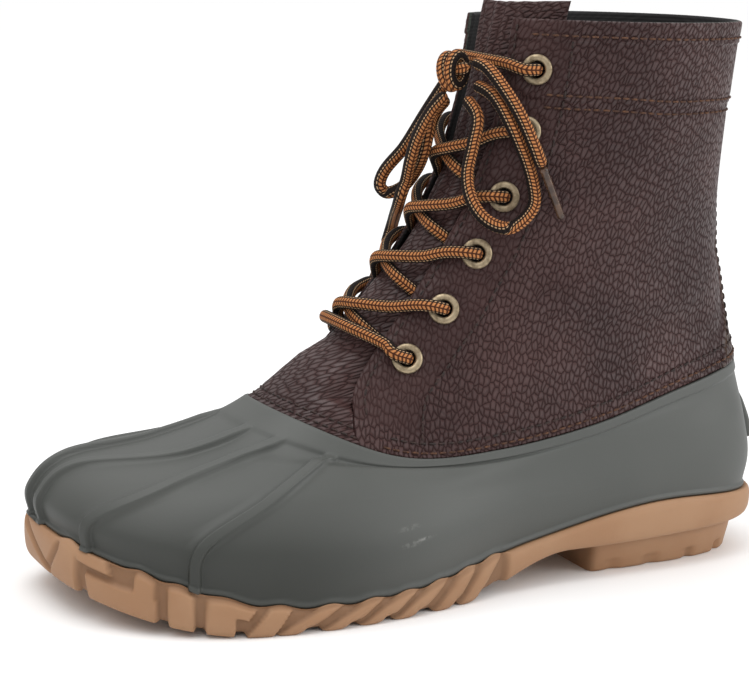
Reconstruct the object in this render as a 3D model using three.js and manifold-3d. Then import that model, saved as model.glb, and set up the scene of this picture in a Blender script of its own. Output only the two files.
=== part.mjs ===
// Lace-up duck boot, left foot: leather shaft over a moulded rubber shell and a gum sole.
// Millimetres, +X to the toe, +Y to the outer side of the foot, +Z up, sole on z = 0.
import * as THREE from 'three';
import Module from 'manifold-3d';

const wasm = await Module();
wasm.setup();

// Sizes of the foot form
const LENGTH = 267; // heel to toe along the line where shell meets sole
const HALF_BALL = 61; // half width of the form at the ball
const SHELL_TOP = 72; // height of the shell's top edge at the heel
const HEIGHT = 195; // height of the collar
const SHAFT_HALF = 38; // half width of the shaft
const TOE_SWING = 16; // how far the toe leans to the inner side

// Walls and clearances
const RUBBER_WALL = 3.4;
const RUBBER_FLOOR = 3;
const LEATHER = 1.9;
const GAP = 0.3; // between neighbouring pieces
const FLANGE_GAP = 0.5; // between the leather and the rubber flange behind it
const EDGE_GAP = 0.45; // between the leather's lower edge and the shell's top edge
const INSOLE_THICKNESS = 4;

// Shell details
const RIB_RAISE = 1.2;
const RIB_TOP_WIDTH = 2.6;
const RIB_FOOT_WIDTH = 5;
const TOP_BAND_RAISE = 0.7;
const TAB_WIDTH = 26;
const TAB_DEPTH = 3.6; // how far the heel tab's lower edge stands out

// Sole
const SOLE_LEDGE = 2; // how far the sole's top edge stands out from the shell
const SOLE_BULGE = 3.2;
const SOLE_TUCK = 1.6; // how far the bottom edge stands out
const TOE_SPRING = 13.5;
const ARCH_RISE = 12;
const HEEL_PITCH = 2;
const HEEL_INSET = 3.2;
const HEEL_TAPER = 3.5;
const LUG_GAP = 2.6;
const LUG_DEPTH = 2.6;
const TREAD_DEPTH = 2.8;
const LUGS_PER_SIDE = 11;
const HEEL_GROOVES = 4;

// Shaft details
const CUFF_RAISE = 0.5;
const BACK_STAY_RAISE = 1.1;

// Eyelets and lace
const EYELET_RADIUS = 5.25;
const EYELET_HOLE = 2.75;
const EYELET_BARREL = 3.05;
const EYELET_RISE = 1.3;
const EYELET_SEAT = 0.6; // clears the curve of the leather under the eyelet
const EYELET_SIDES = 9;
const LACE = 4.4;
const AGLET = 4;

// Section rings of the form from the feather line to the collar. Ends along the foot are
// shares of LENGTH. Heights at the six stations are shares of SHELL_TOP, and from the throat
// up shares of what stands above it. Half widths are shares of HALF_BALL, and from the
// throat up of SHAFT_HALF. A higher fullness is a squarer section.
const RINGS = [
  { name: 'feather', back: -0.517, front: 0.474, rise: [0.33, 0.36, 0.24, 0.12, 0.14, 0.36],
    outer: [0.69, 0.61, 0.62, 0.87, 1.06, 1.2], inner: [0.69, 0.61, 0.58, 0.73, 0.78, 0.55],
    fullness: 2.9 },
  { name: 'bulge', back: -0.524, front: 0.477, rise: [0.5, 0.53, 0.44, 0.36, 0.38, 0.49],
    outer: [0.7, 0.62, 0.67, 0.92, 1.06, 1.15], inner: [0.7, 0.62, 0.62, 0.78, 0.82, 0.57],
    fullness: 2.9 },
  { name: 'shoulder', back: -0.517, front: 0.437, rise: [0.69, 0.68, 0.58, 0.56, 0.575, 0.63],
    outer: [0.69, 0.62, 0.66, 0.8, 0.93, 0.97], inner: [0.69, 0.62, 0.62, 0.7, 0.66, 0.5],
    fullness: 2.7 },
  { name: 'vamp', back: -0.507, front: 0.328, rise: [0.86, 0.79, 0.68, 0.64, 0.685, 0.705],
    outer: [0.64, 0.61, 0.64, 0.7, 0.77, 0.79], inner: [0.64, 0.61, 0.62, 0.67, 0.58, 0.45],
    fullness: 2.5 },
  { name: 'topline', back: -0.494, front: 0.206, rise: [1, 0.9, 0.78, 0.7, 0.695, 0.88],
    outer: [0.59, 0.565, 0.61, 0.635, 0.7, 0.79], inner: [0.59, 0.565, 0.6, 0.615, 0.59, 0.52],
    fullness: 2.6 },
  { name: 'throat', back: -0.472, front: 0.097, rise: [0.18, 0.145, 0.1, 0.065, 0.065, 0.145],
    outer: [0.89, 0.88, 0.92, 0.95, 0.95, 0.89], inner: [0.89, 0.88, 0.91, 0.92, 0.84, 0.74],
    fullness: 2.4 },
  { name: 'ankle', back: -0.453, front: -0.015, rise: [0.44, 0.43, 0.42, 0.42, 0.44, 0.455],
    outer: [0.89, 0.89, 0.92, 0.92, 0.87, 0.79], inner: [0.89, 0.89, 0.92, 0.89, 0.79, 0.68],
    fullness: 2.3 },
  { name: 'calf', back: -0.453, front: -0.064, rise: [0.715, 0.715, 0.715, 0.725, 0.73, 0.74],
    outer: [0.95, 0.95, 0.97, 0.95, 0.87, 0.79], inner: [0.95, 0.95, 0.97, 0.92, 0.79, 0.68],
    fullness: 2.3 },
  { name: 'collar', back: -0.464, front: -0.086, rise: [1, 1, 1, 1, 1, 1],
    outer: [0.97, 0.97, 1, 0.97, 0.87, 0.76], inner: [0.97, 0.97, 1, 0.95, 0.82, 0.71],
    fullness: 2.3 },
];
const SHAFT_STARTS = 5; // index of the first ring that belongs to the shaft
const TOPLINE = 4;
const COLLAR = 8;

// Lean of the toe to the inner side: places are shares of LENGTH, leans of TOE_SWING
const SWAY = { place: [-0.52, -0.34, -0.11, 0.075, 0.3, 0.49], lean: [0, 0, 0, 0.1, 0.42, 1] };

// Toe ribs and the quarter's front edge: degrees around the form at levels 0 to 4
const RIB_TRACKS = {
  outer: [[1.6, 1.6, 4, 14.5, 9.5], [17, 19, 30, 29.5, 21.5], [41, 43, 51.5, 49, 36]],
  inner: [[2.6, 2.4, 4.5, 12.5, 9.5], [18, 19.5, 28, 28.5, 21.5], [42, 43.5, 52, 49, 36]],
};
const FRONT_TRACK = [50, 51, 60, 58, 44];

// Front edge of the quarters above the shell: level and degrees from the middle
const QUARTER_EDGE = { level: [4, 4.15, 4.35, 4.55, 4.8, 8.4], angle: [44, 38.5, 33.5, 29, 27.5, 27.5] };

// Eyelets from the vamp up: level and degrees from the middle
const EYELETS = [
  { level: 4.93, angle: 39 },
  { level: 5.35, angle: 41.5 },
  { level: 5.75, angle: 43 },
  { level: 6.22, angle: 44 },
  { level: 6.86, angle: 44.5 },
  { level: 7.48, angle: 43.5 },
];

// Back stay: half angle at each level, wide at the shell and narrow above
const BACK_STAY = { level: [4, 4.4, 5, 5.5, 8.4], half: [32, 27, 17, 13, 12] };

const BEHIND_LEATHER = 4.14; // level halfway up the flange
const FLANGE_TOP = 4.27;
const CUFF_LEVEL = 7.2;
const BINDING_LEVEL = 7.795;

// Smooth curve through evenly or unevenly spaced rows
function through(places, values, at) {
  const last = places.length - 1;
  const slope = (i) => {
    const a = Math.max(0, i - 1);
    const b = Math.min(last, i + 1);
    return (values[b] - values[a]) / (places[b] - places[a]);
  };
  let i = 0;
  while (i < last - 1 && at > places[i + 1]) i += 1;
  const span = places[i + 1] - places[i];
  const u = (at - places[i]) / span;
  const u2 = u * u;
  const u3 = u2 * u;
  return (2 * u3 - 3 * u2 + 1) * values[i] + (u3 - 2 * u2 + u) * span * slope(i)
    + (3 * u2 - 2 * u3) * values[i + 1] + (u3 - u2) * span * slope(i + 1);
}

// Straight lines through the rows of a table
function along(places, values, at) {
  const last = places.length - 1;
  let i = 0;
  while (i < last - 1 && at > places[i + 1]) i += 1;
  const u = THREE.MathUtils.clamp((at - places[i]) / (places[i + 1] - places[i]), 0, 1);
  return values[i] + (values[i + 1] - values[i]) * u;
}

const STATIONS = [0, 0.2, 0.4, 0.6, 0.8, 1];
const LEVELS = RINGS.map((ring, index) => index);
const swayPlaces = SWAY.place.map((share) => share * LENGTH);

function centreLine(x) {
  const held = THREE.MathUtils.clamp(x, swayPlaces[0], swayPlaces[swayPlaces.length - 1]);
  return -TOE_SWING * through(swayPlaces, SWAY.lean, held);
}

// Point of one ring: along the foot it runs with the cosine, across it is a superellipse
function ringPoint(index, degrees) {
  const ring = RINGS[index];
  const turn = THREE.MathUtils.degToRad(degrees);
  const c = Math.cos(turn);
  const side = Math.sign(Math.sin(turn));
  const share = (1 + c) / 2;
  const x = LENGTH * (ring.back + (ring.front - ring.back) * share);
  const width = index < SHAFT_STARTS ? HALF_BALL : SHAFT_HALF;
  const half = width * through(STATIONS, side >= 0 ? ring.outer : ring.inner, share);
  const across = Math.max(0, 1 - Math.abs(c) ** ring.fullness) ** (1 / ring.fullness);
  const rise = through(STATIONS, ring.rise, share);
  const z = index < SHAFT_STARTS ? SHELL_TOP * rise : SHELL_TOP + (HEIGHT - SHELL_TOP) * rise;
  return new THREE.Vector3(x, centreLine(x) + side * half * across, z);
}

const ringCache = new Map();
function ringsAt(degrees) {
  const key = degrees.toFixed(5);
  if (!ringCache.has(key)) ringCache.set(key, RINGS.map((ring, index) => ringPoint(index, degrees)));
  return ringCache.get(key);
}

// Point of the form at an angle around it and a level up it
function form(degrees, level) {
  const points = ringsAt(degrees);
  return new THREE.Vector3(
    through(LEVELS, points.map((p) => p.x), level),
    through(LEVELS, points.map((p) => p.y), level),
    through(LEVELS, points.map((p) => p.z), level),
  );
}

const ANGLE_STEP = 0.6;
const LEVEL_STEP = 0.02;
function slopeAround(degrees, level) {
  return form(degrees + ANGLE_STEP, level).sub(form(degrees - ANGLE_STEP, level))
    .divideScalar(2 * ANGLE_STEP);
}
function slopeUp(degrees, level) {
  return form(degrees, level + LEVEL_STEP).sub(form(degrees, level - LEVEL_STEP))
    .divideScalar(2 * LEVEL_STEP);
}
function outward(degrees, level) {
  return slopeAround(degrees, level).cross(slopeUp(degrees, level)).normalize();
}

// Point at a distance outside the form, or inside it where the distance is negative
function skin(degrees, level, lift) {
  return form(degrees, level).addScaledVector(outward(degrees, level), lift);
}

// Level that lies a length above another one, measured on the form
function levelAbove(degrees, level, length) {
  return level + length / slopeUp(degrees, level).length();
}

function quarterEdge(level) {
  return through(QUARTER_EDGE.level, QUARTER_EDGE.angle, level);
}

// Columns around the form, one list of { angle, raise } for the outer side at a level
const BETWEEN_RIBS = [1, 2, 0];
const SIDE_COLUMNS = 13;
const SIDE_CROWDING = 1.25; // power that draws the columns towards the heel
const FOOT_LEVELS = [0, 1, 2, 3, 4];
// Angles from the quarter's front edge to the heel, closer together at the rounded heel
function sideAngle(front, k) {
  return 180 - (180 - front) * (1 - k / SIDE_COLUMNS) ** SIDE_CROWDING;
}
function halfColumns(level, tracks, sign) {
  const held = THREE.MathUtils.clamp(level, 0, TOPLINE);
  const columns = [];
  let previous = 0;
  tracks.forEach((track, index) => {
    const middle = through(FOOT_LEVELS, track, held);
    const perDegree = slopeAround(sign * middle, held).length();
    const foot = RIB_FOOT_WIDTH / 2 / perDegree;
    const top = RIB_TOP_WIDTH / 2 / perDegree;
    if (index > 0) {
      const fill = BETWEEN_RIBS[index - 1];
      for (let k = 1; k <= fill; k += 1) {
        const share = k / (fill + 1);
        columns.push({ angle: previous + (middle - foot - previous) * share, raise: 0 });
      }
    }
    columns.push({ angle: middle - foot, raise: 0 });
    columns.push({ angle: middle - top, raise: 1 });
    columns.push({ angle: middle + top, raise: 1 });
    columns.push({ angle: middle + foot, raise: 0 });
    previous = middle + foot;
  });
  const front = level <= TOPLINE ? through(FOOT_LEVELS, FRONT_TRACK, held) : quarterEdge(level);
  for (let k = 0; k < SIDE_COLUMNS; k += 1) {
    columns.push({ angle: sideAngle(front, k), raise: 0 });
  }
  return columns;
}

function columnsAt(level) {
  const outer = halfColumns(level, RIB_TRACKS.outer, 1);
  const inner = halfColumns(level, RIB_TRACKS.inner, -1);
  return [
    { angle: 0, raise: 0 },
    ...outer,
    { angle: 180, raise: 0 },
    ...inner.reverse().map(({ angle, raise }) => ({ angle: 360 - angle, raise })),
  ];
}

// Indexed geometry from rings of equal count, with triangles that close its two ends
function geometryOf(rings, ends) {
  const count = rings[0].length;
  const positions = [];
  rings.forEach((ring) => ring.forEach((p) => positions.push(p.x, p.y, p.z)));
  const index = [];
  for (let r = 0; r + 1 < rings.length; r += 1) {
    for (let j = 0; j < count; j += 1) {
      const a = r * count + j;
      const b = r * count + ((j + 1) % count);
      index.push(a, b, b + count, a, b + count, a + count);
    }
  }
  ends(count, (rings.length - 1) * count, (first, a, b, c) => {
    if (first) index.push(a, c, b);
    else index.push(a, b, c);
  });
  const geometry = new THREE.BufferGeometry();
  geometry.setAttribute('position', new THREE.Float32BufferAttribute(positions, 3));
  geometry.setIndex(index);
  return geometry;
}

// Ends closed by strips that run straight across a ring from side to side
function acrossEnds(mirror) {
  return (count, lastStart, push) => {
    [[true, 0], [false, lastStart]].forEach(([first, start]) => {
      for (let j = 0; j < count; j += 1) {
        const next = j + 1;
        const far = mirror(j, count);
        const farNext = mirror(next, count);
        if (next > farNext) break;
        if (far !== j) {
          push(first, start + j, start + next, start + far);
          if (next !== farNext) push(first, start + next, start + farNext, start + far);
        } else push(first, start + j, start + next, start + farNext);
      }
    });
  };
}
const fullRing = acrossEnds((j, count) => (count - j) % count);
const openRing = acrossEnds((j, count) => count - 1 - j);

// Ends of a wall whose ring runs along its outer face and back along its inner one
function wallEnds(count, lastStart, push) {
  const half = count / 2;
  [[true, 0], [false, lastStart]].forEach(([first, start]) => {
    for (let j = 0; j + 1 < half; j += 1) {
      const inner = count - 1 - j;
      push(first, start + j, start + j + 1, start + inner);
      push(first, start + j + 1, start + inner - 1, start + inner);
    }
  });
}

function solidOf(geometry) {
  const bare = new THREE.BufferGeometry();
  const source = geometry.index ? geometry : mergedOf(geometry);
  bare.setAttribute('position', source.attributes.position);
  return new wasm.Manifold(new wasm.Mesh({
    numProp: 3,
    vertProperties: new Float32Array(bare.attributes.position.array),
    triVerts: new Uint32Array(source.index.array),
  }));
}

// Shared corners of a geometry made one, so that its solid is closed
function mergedOf(geometry) {
  const position = geometry.attributes.position;
  const order = geometry.index ? geometry.index.array : position.array.map((value, i) => i);
  const corners = geometry.index ? geometry.index.count : position.count;
  const seen = new Map();
  const positions = [];
  const index = [];
  for (let i = 0; i < corners; i += 1) {
    const v = geometry.index ? order[i] : i;
    const key = [position.getX(v), position.getY(v), position.getZ(v)]
      .map((value) => Math.round(value * 1e4)).join(' ');
    if (!seen.has(key)) {
      seen.set(key, positions.length / 3);
      positions.push(position.getX(v), position.getY(v), position.getZ(v));
    }
    index.push(seen.get(key));
  }
  const kept = [];
  for (let i = 0; i < index.length; i += 3) {
    const [a, b, c] = index.slice(i, i + 3);
    if (a !== b && b !== c && c !== a) kept.push(a, b, c);
  }
  const merged = new THREE.BufferGeometry();
  merged.setAttribute('position', new THREE.Float32BufferAttribute(positions, 3));
  merged.setIndex(kept);
  return merged;
}

function geometryFrom(solid) {
  const mesh = solid.getMesh();
  const geometry = new THREE.BufferGeometry();
  geometry.setAttribute('position', new THREE.BufferAttribute(mesh.vertProperties, 3));
  geometry.setIndex(new THREE.BufferAttribute(mesh.triVerts, 1));
  return geometry;
}

const boot = new THREE.Group();
function addPiece(name, geometry, material) {
  geometry.computeVertexNormals();
  const mesh = new THREE.Mesh(geometry, material());
  mesh.name = name;
  boot.add(mesh);
  return mesh;
}

const rubber = () => new THREE.MeshStandardMaterial({ color: 0x5b5b57, roughness: 0.55, metalness: 0 });
const gum = () => new THREE.MeshStandardMaterial({ color: 0xb98a62, roughness: 0.7, metalness: 0 });
const leather = () => new THREE.MeshStandardMaterial({ color: 0x42292a, roughness: 0.6, metalness: 0 });
const lining = () => new THREE.MeshStandardMaterial({ color: 0x1c1a19, roughness: 0.9, metalness: 0 });
const brass = () => new THREE.MeshStandardMaterial({ color: 0x8f7650, roughness: 0.35, metalness: 0.9 });
const cord = () => new THREE.MeshStandardMaterial({ color: 0x8a5a34, roughness: 0.85, metalness: 0 });
const horn = () => new THREE.MeshStandardMaterial({ color: 0x6b4f3d, roughness: 0.4, metalness: 0 });

// Rubber shell: floor, ribbed wall, raised top band, and a thin flange behind the leather
function shellRing(level, lift, ribs) {
  return columnsAt(level).map(({ angle, raise }) => skin(angle, level, lift + ribs * raise * RIB_RAISE));
}
const FLOOR_LEVEL = 0.3; // level whose outline the floor follows
function floorRing(inset, lift) {
  return columnsAt(0).map(({ angle }) => {
    const point = skin(angle, FLOOR_LEVEL, -inset);
    return point.setZ(form(angle, 0).z + lift);
  });
}
const flangeInset = LEATHER + FLANGE_GAP;
const RIBBED_LEVELS = [0.12, 0.5, 1, 1.6, 2.2, 2.8, 3.4];
const RIB_END = { level: 3.68, share: 0.4 }; // where the ribs run out, and what is left of them
const TOP_BAND_LEVEL = 3.74;
const LINING_LEVELS = [TOPLINE, 3.1, 2.2, 1.4, 0.8];
const shellRows = [
  columnsAt(0).map(({ angle }) => form(angle, 0)),
  ...RIBBED_LEVELS.map((level) => shellRing(level, 0, 1)),
  shellRing(RIB_END.level, 0, RIB_END.share),
  shellRing(TOP_BAND_LEVEL, TOP_BAND_RAISE, 0),
  shellRing(TOPLINE, TOP_BAND_RAISE, 0),
  shellRing(TOPLINE, -flangeInset, 0),
  shellRing(BEHIND_LEATHER, -flangeInset, 0),
  shellRing(FLANGE_TOP, -flangeInset, 0),
  shellRing(FLANGE_TOP, -RUBBER_WALL, 0),
  ...LINING_LEVELS.map((level) => shellRing(level, -RUBBER_WALL, 0)),
  floorRing(RUBBER_WALL, RUBBER_FLOOR),
];
const shellBody = solidOf(geometryOf(shellRows, fullRing));

// Heel tab: a wedge on the back of the shell, flush at its top and proud at its lower edge
const TAB = {
  level: [1.32, 1.36, 1.9, 2.4, 2.76],
  reach: [1, 1, 0.72, 0.36, 0],
  width: [0.94, 1, 1, 0.9, 0.7],
};
const TAB_COLUMNS = 3;
const TAB_SIDE_REACH = 0.6; // share of the depth at the tab's two sides
function tabRow(row) {
  const level = TAB.level[row];
  const half = (TAB_WIDTH / 2) * TAB.width[row];
  const outer = [];
  const inner = [];
  for (let k = -TAB_COLUMNS; k <= TAB_COLUMNS; k += 1) {
    const angle = angleBeside(level, half * (k / TAB_COLUMNS));
    const rounding = Math.abs(k) === TAB_COLUMNS ? TAB_SIDE_REACH : 1;
    outer.push(skin(angle, level, TAB_DEPTH * TAB.reach[row] * rounding));
    inner.push(skin(angle, level, -RUBBER_WALL / 2));
  }
  return [...outer, ...inner.reverse()];
}
// Angle at which the form at a level lies a distance to one side of the heel's middle
const HEEL_SPAN = 60; // degrees searched to each side
const HALVINGS = 24;
function angleBeside(level, distance) {
  let near = 0;
  let far = HEEL_SPAN;
  for (let k = 0; k < HALVINGS; k += 1) {
    const middle = (near + far) / 2;
    if (Math.abs(form(180 - middle, level).y) < Math.abs(distance)) near = middle;
    else far = middle;
  }
  return 180 + Math.sign(distance) * near;
}
const heelTab = solidOf(geometryOf(TAB.level.map((level, row) => tabRow(row)), wallEnds));
addPiece('shell', geometryFrom(shellBody.add(heelTab)), rubber);

// Gum sole: a ledge under the shell, a bulged side wall, toe spring, arch and heel
const FOREFOOT_FRONT = 0.26; // where the toe spring starts, share of LENGTH from the middle
const FOREFOOT_BACK = -0.005; // where the arch starts
const ARCH_LENGTH = 0.18;
const BREAST = -0.237; // front face of the heel
const SOLE_EDGE_RISE = 0.6; // how far the bottom edge is rounded up
const BULGE_FROM = 0.4; // share of the side's height where the bulge is full
const BULGE_TO = 0.75;

function smooth(share) {
  const u = THREE.MathUtils.clamp(share, 0, 1);
  return u * u * (3 - 2 * u);
}
function soleBottom(x) {
  const place = x / LENGTH;
  const toe = Math.max(0, (place - FOREFOOT_FRONT) / (0.5 - FOREFOOT_FRONT));
  const arch = smooth((FOREFOOT_BACK - place) / ARCH_LENGTH);
  const heel = THREE.MathUtils.clamp((BREAST - place) / (0.5 + BREAST), 0, 1);
  return TOE_SPRING * toe * toe + ARCH_RISE * arch + HEEL_PITCH * heel;
}
// Point beside the feather line, moved level with the ground
function besideFeather(degrees, reach) {
  const around = slopeAround(degrees, 0);
  const out = new THREE.Vector3(around.y, -around.x, 0).normalize();
  return form(degrees, 0).addScaledVector(out, reach);
}
function soleRing(reach, height) {
  return columnsAt(0).map(({ angle }) => {
    const point = besideFeather(angle, reach);
    return point.setZ(height(form(angle, 0).z - GAP, soleBottom(point.x)));
  });
}
const soleRows = [
  soleRing(-SOLE_LEDGE, (top, bottom) => bottom),
  soleRing(SOLE_TUCK, (top, bottom) => bottom + SOLE_EDGE_RISE),
  soleRing(SOLE_BULGE, (top, bottom) => bottom + (top - bottom) * BULGE_FROM),
  soleRing(SOLE_BULGE, (top, bottom) => bottom + (top - bottom) * BULGE_TO),
  soleRing(SOLE_LEDGE, (top) => top),
  soleRing(0, (top) => top),
];
let sole = solidOf(geometryOf(soleRows, fullRing));

// Heel block: the back of the same outline drawn in, with a straight breast
const HEEL_STEPS = 18;
const HEEL_WAIST = 0.75; // share of the arch's rise where the taper nearly ends
const HEEL_WAIST_TAPER = 0.2; // share of the taper that is left there
const HEEL_BURIED = 2; // how far the block runs up into the sole
function heelBlock() {
  const breastAngle = THREE.MathUtils.radToDeg(Math.acos(
    2 * (BREAST - RINGS[0].back) / (RINGS[0].front - RINGS[0].back) - 1));
  const rowAt = (inset, height) => {
    const row = [];
    for (let k = 0; k <= HEEL_STEPS; k += 1) {
      const angle = breastAngle + (360 - 2 * breastAngle) * (k / HEEL_STEPS);
      row.push(besideFeather(angle, -inset).setZ(height));
    }
    return row;
  };
  const rows = [
    rowAt(HEEL_INSET + HEEL_TAPER, 0),
    rowAt(HEEL_INSET + HEEL_TAPER * HEEL_WAIST_TAPER, ARCH_RISE * HEEL_WAIST),
    rowAt(HEEL_INSET, ARCH_RISE + HEEL_PITCH + HEEL_BURIED),
  ];
  return solidOf(geometryOf(rows, openRing));
}
sole = sole.add(heelBlock());

// A straight bar of square section between two points, for grooves
function barBetween(from, to, width, height, spare) {
  const span = to.clone().sub(from);
  const bar = new THREE.BoxGeometry(span.length() + 2 * spare, width, height);
  const along3 = span.clone().normalize();
  const across = new THREE.Vector3(0, 0, 1).cross(along3).normalize();
  const up = along3.clone().cross(across);
  bar.applyMatrix4(new THREE.Matrix4().makeBasis(along3, across, up)
    .setPosition(from.clone().add(to).multiplyScalar(0.5)));
  return solidOf(mergedOf(bar));
}

// Angles that share the outline from the toe back to the arch in equal lengths
function evenAngles(count, from, to, sign) {
  const fine = 90;
  const lengths = [0];
  for (let k = 1; k <= fine; k += 1) {
    const a = form(sign * (from + (to - from) * (k - 1) / fine), 0);
    const b = form(sign * (from + (to - from) * k / fine), 0);
    lengths.push(lengths[k - 1] + a.distanceTo(b));
  }
  const angles = [];
  for (let n = 0; n < count; n += 1) {
    const wanted = lengths[fine] * n / (count - 1);
    let k = 1;
    while (k < fine && lengths[k] < wanted) k += 1;
    const share = (wanted - lengths[k - 1]) / (lengths[k] - lengths[k - 1]);
    angles.push(sign * (from + (to - from) * (k - 1 + share) / fine));
  }
  return angles;
}
const LUGS_FROM = 6; // degrees from the toe where the first lug gap lies
const LUGS_TO = 92;
const LUG_TOP_BAND = 2.4; // plain band above the gaps
const LUG_SLANT_TOE = 0.5; // half the lean of a gap at the toe
const LUG_SLANT_GAIN = 3; // and how much more at the arch
const outerGaps = evenAngles(LUGS_PER_SIDE, LUGS_FROM, LUGS_TO, 1);
const innerGaps = evenAngles(LUGS_PER_SIDE, LUGS_FROM, LUGS_TO, -1);
const cutters = [];
function sideGap(angle, slant) {
  const top = besideFeather(angle, SOLE_BULGE);
  const lean = slopeAround(angle, 0).normalize().multiplyScalar(-Math.sign(angle) * slant);
  const low = top.clone().sub(lean).setZ(soleBottom(top.x) - LUG_GAP);
  const high = top.clone().add(lean).setZ(top.z - GAP - LUG_TOP_BAND);
  return barBetween(low, high, LUG_GAP, 2 * LUG_DEPTH, 0);
}
outerGaps.forEach((angle, k) => {
  const share = k / (LUGS_PER_SIDE - 1);
  const slant = LUG_SLANT_TOE + LUG_SLANT_GAIN * share;
  cutters.push(sideGap(angle, slant), sideGap(innerGaps[k], slant));
  const left = besideFeather(angle, 0);
  const right = besideFeather(innerGaps[k], 0);
  left.setZ(soleBottom(left.x));
  right.setZ(soleBottom(right.x));
  if (k > 0) cutters.push(barBetween(left, right, LUG_GAP, 2 * TREAD_DEPTH, 2 * SOLE_BULGE));
});
const HEEL_GROOVE_FROM = 0.035; // behind the breast, share of LENGTH
const HEEL_GROOVE_PITCH = 0.045;
for (let k = 0; k < HEEL_GROOVES; k += 1) {
  const x = LENGTH * (BREAST - HEEL_GROOVE_FROM - HEEL_GROOVE_PITCH * k);
  const left = new THREE.Vector3(x, HALF_BALL, 0);
  const right = new THREE.Vector3(x, -HALF_BALL, 0);
  cutters.push(barBetween(left, right, LUG_GAP, TREAD_DEPTH, 0));
}
sole = cutters.reduce((whole, cutter) => whole.subtract(cutter), sole);
addPiece('outsole', geometryFrom(sole), gum);

// Insole lying on the shell's floor
const insoleBottom = floorRing(RUBBER_WALL + GAP, RUBBER_FLOOR + GAP);
const insoleTop = insoleBottom.map((point) => point.clone().setZ(point.z + INSOLE_THICKNESS));
addPiece('insole', geometryOf([insoleBottom, insoleTop], fullRing), lining);

// Leather shaft and quarters: one wall, open in front, with cuff, binding and back stay raised
function sideAngles(level) {
  const outer = [];
  for (let k = 0; k <= SIDE_COLUMNS; k += 1) outer.push(sideAngle(quarterEdge(level), k));
  return [...outer, ...outer.slice(0, -1).reverse().map((angle) => 360 - angle)];
}
function backStayRaise(angle, level) {
  const half = along(BACK_STAY.level, BACK_STAY.half, level);
  return Math.abs(angle - 180) < half ? BACK_STAY_RAISE : 0;
}
// The leather starts a gap above the shell's top edge
function aboveShell(angle, level) {
  return Math.max(level, levelAbove(angle, TOPLINE, EDGE_GAP));
}
function shaftRow(level, raise) {
  const angles = sideAngles(level);
  const outer = angles.map((angle) => skin(angle, aboveShell(angle, level),
    raise + backStayRaise(angle, level)));
  const inner = angles.map((angle) => skin(angle, aboveShell(angle, level), -LEATHER));
  return [...outer, ...inner.reverse()];
}
const SHAFT_LEVELS = [TOPLINE, BEHIND_LEATHER, FLANGE_TOP, 4.5, 4.8, 5.3, 5.9, 6.5];
const LEDGE = 0.02; // levels over which the cuff and the binding step out
const upperRows = [
  ...SHAFT_LEVELS.map((level) => shaftRow(level, 0)),
  shaftRow(CUFF_LEVEL - LEDGE, 0),
  shaftRow(CUFF_LEVEL, CUFF_RAISE),
  shaftRow(BINDING_LEVEL - LEDGE, CUFF_RAISE),
  shaftRow(BINDING_LEVEL, 2 * CUFF_RAISE),
  shaftRow(COLLAR, 2 * CUFF_RAISE),
];
let upper = solidOf(geometryOf(upperRows, wallEnds));

// Frame of an eyelet: its centre on the leather and its axis out of it
function eyeletFrame(eyelet, sign) {
  const centre = form(sign * eyelet.angle, eyelet.level);
  const axis = outward(sign * eyelet.angle, eyelet.level);
  const turn = new THREE.Quaternion().setFromUnitVectors(new THREE.Vector3(0, 1, 0), axis);
  return new THREE.Matrix4().compose(centre, turn, new THREE.Vector3(1, 1, 1));
}
const PUNCH_HEIGHT = 6 * LEATHER;
function eyeletHole(eyelet, sign) {
  const punch = new THREE.CylinderGeometry(EYELET_BARREL + GAP, EYELET_BARREL + GAP,
    PUNCH_HEIGHT, EYELET_SIDES);
  return solidOf(mergedOf(punch.applyMatrix4(eyeletFrame(eyelet, sign))));
}
const sides = { lateral: 1, medial: -1 };
Object.values(sides).forEach((sign) => {
  EYELETS.forEach((eyelet) => {
    upper = upper.subtract(eyeletHole(eyelet, sign));
  });
});
addPiece('upper', geometryFrom(upper), leather);

// Eyelets: a rolled flange on the leather and a barrel through it
const cuffLift = (level) => (level > CUFF_LEVEL ? CUFF_RAISE : 0);
const EYELET_MOUTH = 0.7; // height of the inner edge, share of the rise
const EYELET_CROWN = 0.8; // radius of the highest ring, share of the flange
Object.entries(sides).forEach(([side, sign]) => {
  EYELETS.forEach((eyelet, index) => {
    const seat = EYELET_SEAT + cuffLift(eyelet.level);
    const profile = [
      [EYELET_HOLE, seat + EYELET_RISE * EYELET_MOUTH],
      [EYELET_HOLE, -LEATHER - GAP],
      [EYELET_BARREL, -LEATHER - GAP],
      [EYELET_BARREL, seat],
      [EYELET_RADIUS, seat],
      [EYELET_RADIUS * EYELET_CROWN, seat + EYELET_RISE],
      [EYELET_HOLE, seat + EYELET_RISE * EYELET_MOUTH],
    ].map(([radius, height]) => new THREE.Vector2(radius, height));
    const ring = mergedOf(new THREE.LatheGeometry(profile, EYELET_SIDES));
    addPiece(`eyelet_${side}_${index + 1}`, ring.applyMatrix4(eyeletFrame(eyelet, sign)), brass);
  });
});

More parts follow.
